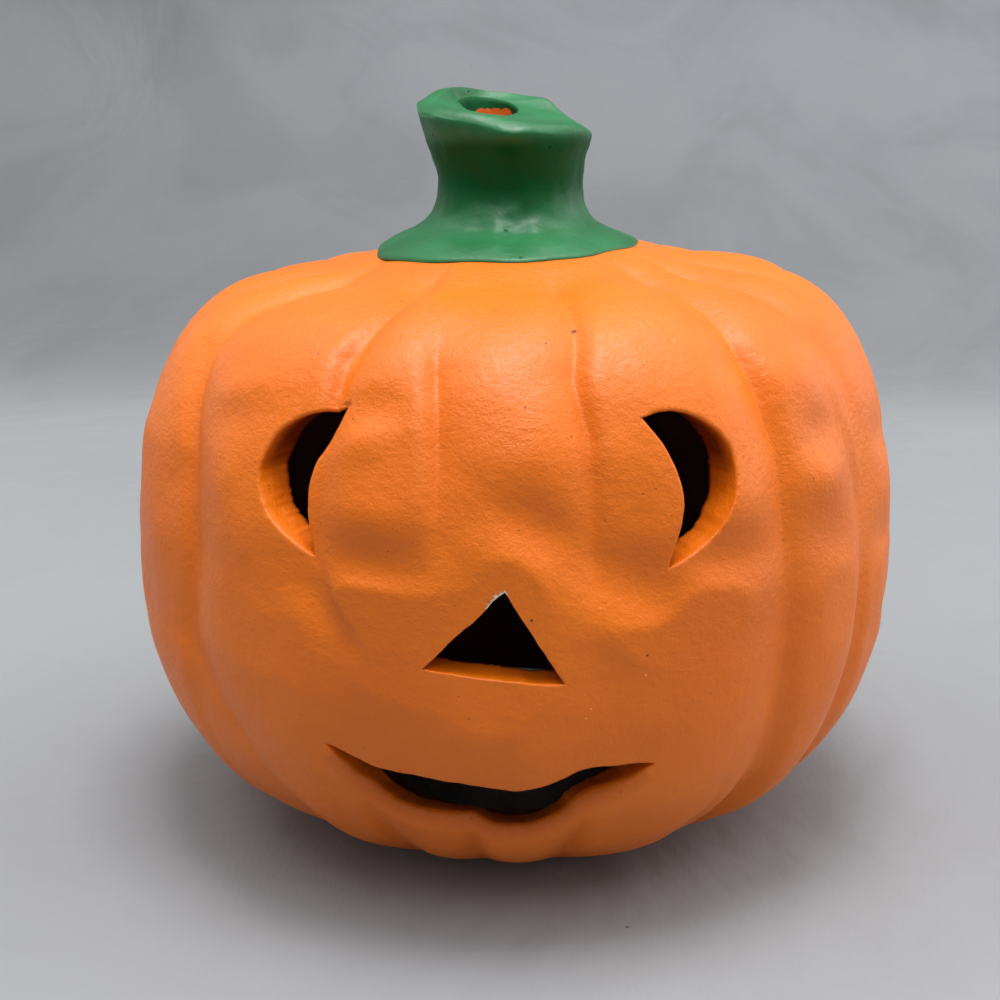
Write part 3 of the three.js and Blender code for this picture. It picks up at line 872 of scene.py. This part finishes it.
# Chipped places: bearing, height, radius, how much
CHIPPED = [
    (0.3, 62.0, 0.7, 0.8),
    (1.3, 63.1, 0.7, 0.8),
    (-21.3, 90.1, 1.1, 0.9),
]


class Gathered:
    def __init__(self):
        self.points = []
        self.faces = []
        self.kinds = []
        self.values = {"chip": [], "sliver": [], "under": []}
        self.count = 0

    def add(self, points, **values):
        """Takes in points and returns their numbers; a value that isn't given is 0."""
        for key, parts in self.values.items():
            parts.append(values.get(key, np.zeros(len(points))))
        self.points.append(points)
        self.count += len(points)
        return np.arange(self.count - len(points), self.count)

    def add_faces(self, faces, kind):
        self.faces += faces
        self.kinds += [kind] * len(faces)


def rings_round(loops, offsets):
    return np.vstack([ring_points(loop, offset) for loop in loops for offset in offsets])


def edge_gaps(flat, loops, rounds):
    """How far each point is from an opening, and the roundness of the edge it is nearest to. The
    openings' own points come first in flat."""
    gap = np.full(len(flat), 9.0)
    rho = np.full(len(flat), 0.3)
    for loop, rounding in zip(loops, rounds):
        d, i = loop_distance(flat, loop)
        closer = d < gap
        gap[closer] = d[closer]
        rho[closer] = rounding[i[closer]]
    rounding = np.concatenate(rounds)
    gap[:len(rounding)] = 0
    rho[:len(rounding)] = rounding
    return gap, rho


def slivers(flat, gap):
    """A pale line of bare clay beside the nose's left edge, near its tip, with a darker line in
    its middle."""
    along = np.linalg.norm(flat - flattened(0.7, 62.8), axis=1)
    left = flat[:, 0] < 2.2 * DEG * RADIUS
    pale = np.clip(1.9 - np.maximum(gap, 0) / 0.42, 0, 1) - 0.7 * np.exp(-(((gap - 0.36) / 0.1) ** 2))
    return pale * np.clip(2.9 - along, 0, 1) * left


def chips(flat):
    """How chipped the paint is at points of the flattened surface."""
    value = np.zeros(len(flat))
    for bearing, height, radius, amount in CHIPPED:
        d = np.linalg.norm(flat - flattened(bearing, height), axis=1)
        value = np.maximum(value, amount * np.clip(1.35 - d / radius, 0, 1))
    return value


def outer_surface(shell, loops, rounds):
    """The painted surface; returns the window's points and numbers, the edges' first."""
    def free(x0, x1, s0, s1):
        creases, lines = crease_points(x0, x1, s0, s1, loops, OUTER_CLEAR)
        loose = free_points(x0, x1, s0, s1, OUTER_STEP, loops, OUTER_CLEAR, 5, lines)
        return np.vstack([rings_round(loops, OUTER_RINGS), creases, loose])

    base, extra, faces = skin(OUTSIDE, *OUTER_GRID, loops, free, outside_points)
    gap, rho = edge_gaps(extra, loops, rounds)
    t = np.clip(1 - gap / rho, 0, 1)
    lowered = rho * (1 - np.sqrt(np.clip(1 - t * t, 0, 1)))
    chip = chips(extra)
    lowered = lowered + 0.35 * np.clip(chip, 0, 1) * (gap < 0.9)
    worn = outside_points(extra[:, 0] / RADIUS, extra[:, 1], lowered)
    # Painted shade on the skin along the mouth's lower lip, the only edge rounder than SOFT_LIP
    shaded = np.where(rho > SOFT_LIP, 0.25 * np.clip(1.5 - gap / 1.9, 0, 1), 0)
    shell.add(base)
    ids = shell.add(worn, chip=chip, sliver=slivers(extra, gap), under=shaded)
    shell.add_faces(faces, PAINTED)
    return worn, ids


def cut_wall(shell, edge, ids, loop, tip):
    """One opening's wall, from the rounded edge in to the inner surface; returns the outline where
    it ends, flattened, and the numbers of the points there."""
    z = OUTSIDE.at(loop[:, 1])[1]
    before, after = outward(loop)
    normal = before + after
    normal /= np.linalg.norm(normal, axis=1, keepdims=True)
    flat = np.column_stack([loop, np.zeros(len(loop))])
    crumbs = np.abs(soft_noise(flat, 0.75, 42)) * (soft_noise(flat, 5.0, 43) > -0.2)
    ragged = (0.2 * soft_noise(flat, 1.3, 41) + 0.42 * crumbs) * tip
    inner = np.stack([loop[:, 0], INSIDE.s_of_z(z)], 1) - normal * ragged[:, None]
    end = inside_points(inner[:, 0] / RADIUS, inner[:, 1])
    # Painted shade: the walls above an opening face down and get darker paint, more so on the right, and
    # the mouth's walls get a little
    shaded = 2 * normal[:, 1] + np.where(loop[:, 0] > 0.2 * RADIUS, 0.7, 0.3)
    shaded = np.clip(np.maximum(shaded, 0.15 * (z < MOUTH_TOP)), 0, 1)
    chipped = chips(loop)
    for k in range(1, WALL_STEPS + 1):
        share = k / WALL_STEPS
        ring = edge * (1 - share) + end * share
        if k < WALL_STEPS:
            waver = 0.12 * soft_noise(ring, 2.2, 44) * math.sin(math.pi * share)
            bearing = np.arctan2(ring[:, 0], -ring[:, 1])
            side = np.stack([np.cos(bearing), np.sin(bearing), 0 * bearing], 1) * normal[:, :1]
            ring = ring + (side + np.array([0, 0, 1]) * normal[:, 1:]) * waver[:, None]
        new = shell.add(ring, chip=chipped * (share < 0.5), under=shaded * min(1, 2.5 * share))
        shell.add_faces(band(ids, new), PAINTED)
        ids = new
    return inner, ids


def inner_surface(shell, loops, wall_ids):
    def free(x0, x1, s0, s1):
        loose = free_points(x0, x1, s0, s1, INNER_STEP, loops, INNER_CLEAR, 6)
        return np.vstack([rings_round(loops, INNER_RINGS), loose])

    base, extra, faces = skin(INSIDE, *INNER_GRID, loops, free, inside_points)
    loose = extra[sum(len(loop) for loop in loops):]
    ids = [shell.add(base)] + wall_ids
    ids.append(shell.add(inside_points(loose[:, 0] / RADIUS, loose[:, 1])))
    ids = np.concatenate(ids)
    shell.add_faces([ids[f][::-1].tolist() for f in faces], INNER)


def foot_ring(shell):
    """The flat ring under the foot and its inner edge, from the shell's first ring of points."""
    columns = OUTER_GRID[0]
    angles = np.arange(columns) * (360 / columns) * DEG
    ids = np.arange(columns)
    rings = [(radius, 0.0) for radius in np.linspace(FOOT, OPENING, FOOT_ROWS + 1)[1:]]
    for radius, height in rings + [(OPENING, INSIDE.z[0])]:
        new = shell.add(on_bearing(angles, radius, height))
        shell.add_faces(band(new, ids), BARE)
        ids = new


def pumpkin():
    shell = Gathered()
    loops, rounds, tips = map(list, zip(*[outline(*opening) for opening in OPENINGS]))
    worn, ids = outer_surface(shell, loops, rounds)
    inner_loops, wall_ids = [], []
    start = 0
    for loop, tip in zip(loops, tips):
        edge = slice(start, start + len(loop))
        inner, end_ids = cut_wall(shell, worn[edge], ids[edge], loop, tip)
        inner_loops.append(inner)
        wall_ids.append(end_ids)
        start += len(loop)
    inner_surface(shell, inner_loops, wall_ids)
    foot_ring(shell)
    values = {key: np.concatenate(parts) for key, parts in shell.values.items()}
    materials = [ORANGE, CLAY_INSIDE, CLAY_BARE]
    return add_mesh("pumpkin_cast", np.vstack(shell.points), shell.faces, materials, shell.kinds, values)


shell = pumpkin()
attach(shell, "pumpkin")
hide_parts("pumpkin_shell")


# Stem
# How far the rim slants up to the back and to the left, in degrees
SLANT_BACK = 14
SLANT_LEFT = 10
# Facets of the flank: where each lies in degrees from the front, and how far out
FACET_AT = [-180, -150, -122, -95, -60, -10, 41, 68, 95, 122, 150, 180]
FACET_OUT = [-0.3, 0.35, -0.3, -0.5, 0.5, -0.9, 0.8, -0.5, 0.3, -0.4, 0.35, -0.3]
# Folds where the skirt spreads in front: degrees, half width, how far out
FOLDS = [(-7, 6.5, 0.7), (19, 6.5, 0.8), (6, 7, -0.5)]
# How far the vent's top end leans left and back
VENT_LEFT = VENT_OFFSET - 0.8
VENT_BACK = VENT_OFFSET + 1.7
TOP_ROWS = 14
# Lumps of the stem: height, width and seed of each layer
STEM_LUMPS = ((0.5, 7.5, 51), (0.3, 3.4, 52), (0.1, 1.4, 53))


def full_turn(columns):
    return np.arange(columns) / columns * 2 * math.pi


def stem_rise(x, y):
    slant = y * math.tan(SLANT_BACK * DEG) - x * math.tan(SLANT_LEFT * DEG)
    knob = 0.8 * np.exp(-((x - 11) ** 2 + (y + 7) ** 2) / 12)
    back = 1.2 * ramp(y, 5, 14)
    right = 2.0 * ramp(x, 5, 10) * ramp(y, -7, 2)
    front = 1.5 * ramp(-y, 4, 13)
    return slant + 0.3 - back - right + front + knob


def skirt_radius(radius, angle, share=1):
    wave = np.cos(angle + 72 * DEG) + 0.3 * np.sin(5 * angle) + 0.16 * np.sin(11 * angle + 1)
    return radius + ramp(radius, NECK, SKIRT) * SKIRT_WAVE * wave * share


def stem_piece():
    columns = 160
    angle = full_turn(columns)
    flare, swell = SKIRT - NECK, LIP - NECK
    # Radius, and height as a share of the stem's, from the skirt up to the rim
    flank = smooth_curve([
        (SKIRT + 0.1, 0.014),
        (NECK + 0.96 * flare, 0.03),
        (NECK + 0.72 * flare, 0.07),
        (NECK + 0.42 * flare, 0.125),
        (NECK + 0.2 * flare, 0.19),
        (NECK + 0.06 * flare, 0.29),
        (NECK, 0.45),
        (NECK + 0.4 * swell, 0.7),
        (LIP - 0.4, 0.86),
        (LIP, 0.935),
    ], 60)
    # The rim turns in by these distances, and is rounder on the left
    round_share = 1 + 0.5 * np.clip(np.cos(angle + 100 * DEG), 0, 1)
    rim = [(0.08, 0.95), (0.3, 0.966), (0.75, 0.981), (1.4, 0.992), (2.3, 1.0)]
    # The seat on the crown: radius, and how far above the crown
    seats = [(BORE + 0.2, 0.1), ((SKIRT + BORE) / 2, 0.05), (SKIRT - 0.6, -0.1), (SKIRT - 0.1, -0.15),
             (SKIRT + 0.15, 0.0), (SKIRT + 0.17, 0.2)]
    # The vent from the top down
    vent_wall = [(VENT + 0.3, 0.997), (VENT + 0.1, 0.99), (VENT, 0.978), (VENT, 0.96), (VENT, 0.93),
                 (VENT, 0.9), (VENT + 0.1, 0.82), (VENT + 0.4, 0.72), (VENT + 0.9, 0.6),
                 (BORE - 1, 0.45), (BORE, 0.25), (BORE + 0.1, 0.08)]
    degrees = (angle / DEG + 180) % 360 - 180
    facets = np.interp(degrees, FACET_AT, FACET_OUT)
    facets = np.convolve(np.concatenate([facets[-6:], facets, facets[:6]]), np.ones(13) / 13, "valid")
    folds = sum(far * np.exp(-(((degrees - middle) / width) ** 2)) for middle, width, far in FOLDS)

    def at(radius, share, vent=0.0):
        facet = facets * (1 - ramp(radius, LIP, SKIRT)) * (1 - vent)
        drape = folds * ramp(share, 0.02, 0.08) * (1 - ramp(share, 0.16, 0.34)) * (1 - vent)
        r = skirt_radius(radius, angle, 1 - vent) + facet + drape
        x = -STEM_LEAN * share + r * np.sin(angle)
        y = -r * np.cos(angle)
        z = crown_surface(np.maximum(r, BORE)) + share * (STEM_HEIGHT + stem_rise(x, y))
        return np.stack([x - VENT_LEFT * share * vent, y + VENT_BACK * share * vent, z], 1)

    rows = []
    for radius, lift in seats:
        r = skirt_radius(radius, angle)
        rows.append(on_bearing(angle, r, crown_surface(r) + lift))
    rows += [at(radius, share) for radius, share in flank[2:]]
    rows += [at(LIP - inset * round_share, 1 - (1 - share) * round_share) for inset, share in rim]
    outer_ring, inner_ring = rows[-1], at(VENT + 0.6, 1.0, 1.0)
    for k in range(1, TOP_ROWS + 1):
        share = k / TOP_ROWS
        rows.append(outer_ring * (1 - share) + inner_ring * share)
    vent_start = len(rows)
    rows += [at(radius, share, 1.0) for radius, share in vent_wall]

    total = len(rows)
    flat = np.vstack(rows)
    height = flat[:, 2] - CROWN
    radial = flat[:, :2] / np.maximum(np.linalg.norm(flat[:, :2], axis=1, keepdims=True), 1e-6)
    lump = layered_noise(flat, STEM_LUMPS)
    flat[:, :2] += radial * lump[:, None] * ramp(height, 1.0, 4.0)[:, None]
    at_rim = ramp(np.hypot(flat[:, 0] + STEM_LEAN, flat[:, 1]), 10.5, 14)
    flat[:, 2] += (0.1 + 0.22 * at_rim) * soft_noise(flat, 5.5, 54) * ramp(height, 12, 20)
    flat = tilt_crown(flat)
    # The lowest ring of the vent closes to the seat
    first = np.arange(columns)
    faces = grid_faces(total, columns) + band((total - 1) * columns + first, first)

    row = np.repeat(np.arange(total), columns)
    tiled = np.tile(angle, total)
    in_vent = row >= vent_start
    # Thinner paint at the skirt's edge and under it
    thin = np.where(row < len(seats), 1.0, 0.0)
    thin[row == len(seats) - 1] = 0.55
    # Painted shade: the whole flank below the rim is painted darker, most in front, and the vent is too;
    # this also lowers the green's specular there
    facing = np.clip(0.85 + 0.6 * np.cos(tiled), 0.5, 1)
    flank_share = ramp(height, 5, 11) * (1 - ramp(height, 17.5, 20.5))
    stem_painted_shade = (row < len(seats) + len(flank) + 1) * facing * flank_share
    stem_painted_shade[in_vent] = 1
    # Orange paint left on the far wall of the vent, a little below its rim
    levels = flat[:, 2].reshape(total, columns)
    below = (levels[vent_start] - levels).ravel()
    lean = np.cos(tiled - 140 * DEG)
    smear = np.where(in_vent, np.clip(0.9 * below - 2.1 + 1.3 * lean, 0, 1), 0)
    return add_mesh("stem_cast", flat, faces, [GREEN], None, {"thin": thin, "smear": smear, "stem_painted_shade": stem_painted_shade})


stem = stem_piece()
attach(stem, "pumpkin")
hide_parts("stem")


# Tea light
CUP_RADIUS = 17.8
CUP_HEIGHT = 16
CUP_FLARE = 0.7
FOIL = 0.35
FLUTES = 48
WAX_RADIUS = 17.25
WICK_START = 0.6
WICK_LENGTH = 19.2
WICK_RADIUS = 0.72


def lathe(profile, columns):
    angle = full_turn(columns)
    return np.stack([on_bearing(angle, r, z) for r, z in profile]), angle


def flared(radius, heights):
    """A side that leans out as the cup's does."""
    return [(radius + CUP_FLARE * h / CUP_HEIGHT, h) for h in heights]


def cup_piece():
    outer = [(0.02, 0.35), (6, 0.3), (15.6, 0.28), (16.1, 0.0), (17.0, 0.0), (17.55, 0.15),
             (CUP_RADIUS, 0.5)]
    outer += flared(CUP_RADIUS, np.linspace(1.2, 14.2, 16))
    rim = [(18.5, 14.9), (18.8, 15.0), (19.0, 15.3), (19.0, 15.7), (18.75, 15.95), (18.45, 16.0),
           (18.15, 15.85), (18.05, 15.5)]
    inner = flared(CUP_RADIUS - 0.05 - FOIL, np.linspace(14.6, 0.9, 14))
    inner += [(17.2, 0.6), (16.6, 0.5), (8, 0.5), (0.02, 0.5)]
    columns = 192
    rows, angle = lathe(outer + rim + inner, columns)
    r = np.linalg.norm(rows[:, :, :2], axis=2)
    z = rows[:, :, 2]
    side = r > 17
    flute = 0.09 * np.cos(FLUTES * angle)[None, :] * ramp(z, 1.5, 4) * (1 - ramp(z, 12, 14.2)) * side
    dent = 0.12 * soft_noise(rows.reshape(-1, 3), 9.0, 61).reshape(r.shape) * side * (1 - ramp(z, 13, 15))
    rows[:, :, :2] *= ((r + flute + dent) / np.maximum(r, 1e-6))[:, :, None]
    n = Nodes("cup_aluminium")
    rough = n.steps(n.noise(300, 2.0), 0.3, 0.7, 0.45, 0.6)
    n.set(Base_Color=(0.74, 0.75, 0.77, 1), Metallic=1.0, Roughness=rough)
    n.bumps((n.noise(420, 2.0), 0.2, 0.0003))
    return add_mesh("cup_foil", rows.reshape(-1, 3), grid_faces(len(rows), columns), [n.material])


def wax_piece():
    profile = [(0.02, 0.75), (8, 0.7), (17.0, 0.7), (WAX_RADIUS, 1.0)]
    profile += flared(WAX_RADIUS, np.linspace(2, 12.2, 8))
    profile += [(17.78, 12.9), (17.6, 12.95), (17.2, 12.7), (16.4, 12.45), (14, 12.3), (11, 12.3),
                (8, 12.25), (5, 12.25), (3, 12.35), (1.9, 12.6), (1.2, 12.95), (0.85, 13.0),
                (0.02, 12.6)]
    columns = 96
    flat = lathe(profile, columns)[0].reshape(-1, 3)
    on_top = (flat[:, 2] > 12) * (np.linalg.norm(flat[:, :2], axis=1) < 16)
    flat[:, 2] += 0.06 * soft_noise(flat, 5.0, 71) * on_top
    n = Nodes("wax_paraffin")
    base = n.mottled(n.noise(120, 3.0), rgb(240, 234, 218), rgb(248, 244, 232))
    n.set(Base_Color=base, Roughness=0.42)
    n.set(Subsurface_Weight=0.35, Subsurface_Radius=(0.004, 0.003, 0.002))
    n.bumps((n.noise(500, 2.0), 0.15, 0.0003))
    return add_mesh("wax_fill", flat, grid_faces(len(profile), columns), [n.material])


def wick_piece():
    columns, rows = 16, 60
    angle = full_turn(columns)
    rings = []
    for t in np.linspace(0, 1, rows):
        bend = 1.6 * max(0, t - 0.62) ** 1.5 * 3.2
        r = WICK_RADIUS * (1 - 0.5 * max(0, t - 0.97) / 0.03)
        strand = 0.08 * np.cos(3 * angle + t * 42) + 0.05 * np.cos(3 * angle - t * 42)
        ring = on_bearing(angle, r + strand, WICK_START + WICK_LENGTH * t)
        rings.append(ring + np.array([bend * 0.8, -bend * 0.5, 0]))
    faces = grid_faces(rows, columns)
    faces.append(list(range((rows - 1) * columns, rows * columns)))
    faces.append(list(range(columns))[::-1])
    n = Nodes("wick_cotton")
    weave = n.noise(1400, 2.0)
    n.set(Base_Color=n.mottled(weave, rgb(214, 206, 184), rgb(240, 234, 216)), Roughness=0.7)
    n.bumps((weave, 0.4, 0.0002))
    return add_mesh("wick_braid", np.vstack(rings), faces, [n.material])


def tinplate():
    n = Nodes("sustainer_tinplate")
    rough = n.steps(n.noise(600, 2.0), 0.3, 0.7, 0.3, 0.5)
    n.set(Base_Color=(0.6, 0.6, 0.62, 1), Metallic=1.0, Roughness=rough)
    n.bumps((n.noise(900, 2.0), 0.2, 0.0002))
    return n.material


cup = cup_piece()
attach(cup, "tea_light")
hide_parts("tealight_cup")

wax = wax_piece()
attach(wax, "tea_light")
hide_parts("tealight_wax")

wick = wick_piece()
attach(wick, "tea_light")
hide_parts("wick")

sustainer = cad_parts["wick_sustainer"]
sustainer.data.materials.clear()
sustainer.data.materials.append(tinplate())


# Floor and backdrop in one sweep, in metres
SWEEP_FRONT = -2.2
BEND_START = 0.42
BEND_RADIUS = 0.35
SWEEP_TOP = 2.6
SWEEP_HALF_WIDTH = 2.4
# Folds of the cloth in millimetres: height, width and seed of each layer
CLOTH_FOLDS = ((34, 200.0, 81), (17, 85.0, 82), (6, 40.0, 84))


def sweep_cloth():
    n = Nodes("pale_sweep")
    cloud = n.noise(3.5, 3.0, 0.5)
    base = n.mottled(cloud, (0.255, 0.265, 0.275, 1), (0.288, 0.298, 0.308, 1))
    split = n.node("SeparateXYZ", Vector=n.coords)
    across, back, up = split.outputs["X"], split.outputs["Y"], split.outputs["Z"]
    smudge = n.steps(n.noise(14, 5.0, 0.65), 0.45, 0.8, 0.0, 0.2)
    base = n.mix(smudge, base, (0.2, 0.2, 0.205, 1))
    base = n.mix(n.near((21.9, -55.0, 0.0), 0.3), base, (0.12, 0.11, 0.1, 1))
    # Painted shade: the cloth is painted darker where it rises behind, eased from 3 to 16 cm up, and darker
    # still at the left; its folds get painted light and shade
    rising_painted_shade = n.steps(back, 0.29, 0.5)
    base = n.mix(rising_painted_shade, base, (0.212, 0.22, 0.23, 1))
    base = n.mix(n.steps(up, 0.03, 0.16, 0.0, 0.5), base, (0.3, 0.312, 0.326, 1))
    # Painted light and shade for the cloth's folds
    drape = n.noise(9, 4.0, 0.55, distortion=0.9, vector=n.scaled((1.0, 0.5, 1.6)))
    drape = n.times(n.steps(drape, 0.32, 0.7, -1.0, 1.0), n.steps(back, 0.25, 0.5, 0.15, 1.0))
    light, fold_painted_shade = n.math("MAXIMUM", drape, 0.0), n.math("MAXIMUM", n.times(drape, -1.0), 0.0)
    base = n.mix(n.times(light, 0.11), base, (0.34, 0.345, 0.35, 1))
    base = n.mix(n.times(fold_painted_shade, 0.12), base, (0.06, 0.06, 0.064, 1))
    # Painted shade towards the left where the cloth rises
    left_painted_shade = n.times(n.steps(across, -0.6, 0.5, 0.2, 0.0), rising_painted_shade)
    base = n.mix(left_painted_shade, base, (0.02, 0.02, 0.022, 1))
    n.set(Base_Color=base, Roughness=0.9)
    weave = n.noise(900, 2.0, 0.5, vector=n.scaled((1.0, 0.3, 1.0)))
    n.bumps((weave, 0.25, 0.0003), (n.noise(9, 4.0, 0.55, distortion=0.8), 0.5, 0.012))
    return n.material


def sweep():
    line = [(SWEEP_FRONT, 0.0), (0.25, 0.0)]
    line += [(y, 0.0) for y in np.linspace(0.3, BEND_START, 4)]
    for turn in np.linspace(0.1, 1, 16) * math.pi / 2:
        line.append((BEND_START + BEND_RADIUS * math.sin(turn), BEND_RADIUS * (1 - math.cos(turn))))
    line += [(BEND_START + BEND_RADIUS, h) for h in np.linspace(0.37, SWEEP_TOP, 90)]
    xs = np.linspace(-SWEEP_HALF_WIDTH, SWEEP_HALF_WIDTH, 193)
    points = np.array([[x, y, z] for y, z in line for x in xs]) / MM
    # The cloth hangs in soft slanting folds
    x, y, z = points.T
    slanted = np.stack([x * 0.8 + z * 0.6, y * 0, z * 0.35 - x * 0.3], 1)
    points[:, 1] += ramp(z, 10, 260) * layered_noise(slanted, CLOTH_FOLDS)
    faces = grid_faces(len(line), len(xs), closed=False)
    return add_mesh("sweep", points, faces, [sweep_cloth()])


floor = sweep()


# Light
def area(name, location, target, size, power, size_y=None):
    light = bpy.data.lights.new(name, "AREA")
    light.energy = power
    light.size = size
    if size_y:
        light.shape = "RECTANGLE"
        light.size_y = size_y
    obj = add_object(name, light)
    obj.location = location
    direction = Vector(target) - Vector(location)
    obj.rotation_euler = direction.to_track_quat("-Z", "Y").to_euler()


area("soft_top", (0.05, -0.1, 1.1), (0, 0, 0.05), 1.7, 15.2)
area("key_top", (0.03, -0.1, 0.9), (0, 0, 0.05), 0.32, 5.0)
area("side_right", (0.8, 0.05, 0.3), (0, -0.05, 0.0), 1.2, 1.6, 0.5)
area("back_left", (-0.6, 0.2, 0.4), (-0.08, -0.1, 0.0), 0.8, 1.3)
area("back_right", (0.6, 0.2, 0.4), (0.08, -0.1, 0.0), 0.8, 1.6)

world = bpy.data.worlds.new("studio")
bpy.context.scene.world = world
world.use_nodes = True
background = world.node_tree.nodes["Background"]
background.inputs[0].default_value = (0.92, 0.95, 1.0, 1)
background.inputs[1].default_value = 0.34

# Camera, in metres and degrees, and its lens in widths of the sensor
CAMERA_AWAY = 0.28
CAMERA_HEIGHT = 0.137
CAMERA_BEARING = 2.8 * DEG
LOOK_DOWN = 15.8
LOOK_LEFT = 3.3
LENS = 1.522
SENSOR = 36

camera_data = bpy.data.cameras.new("camera")
camera_data.sensor_width = SENSOR
camera_data.lens = SENSOR * LENS
camera_data.clip_start = 0.01
camera = add_object("camera", camera_data)
camera.location = (CAMERA_AWAY * math.sin(CAMERA_BEARING), -CAMERA_AWAY * math.cos(CAMERA_BEARING),
                   CAMERA_HEIGHT)
camera.rotation_euler = ((90 - LOOK_DOWN) * DEG, 0, LOOK_LEFT * DEG)
bpy.context.scene.camera = camera
bpy.context.scene.view_settings.view_transform = "Standard"

bpy.context.view_layer.update()
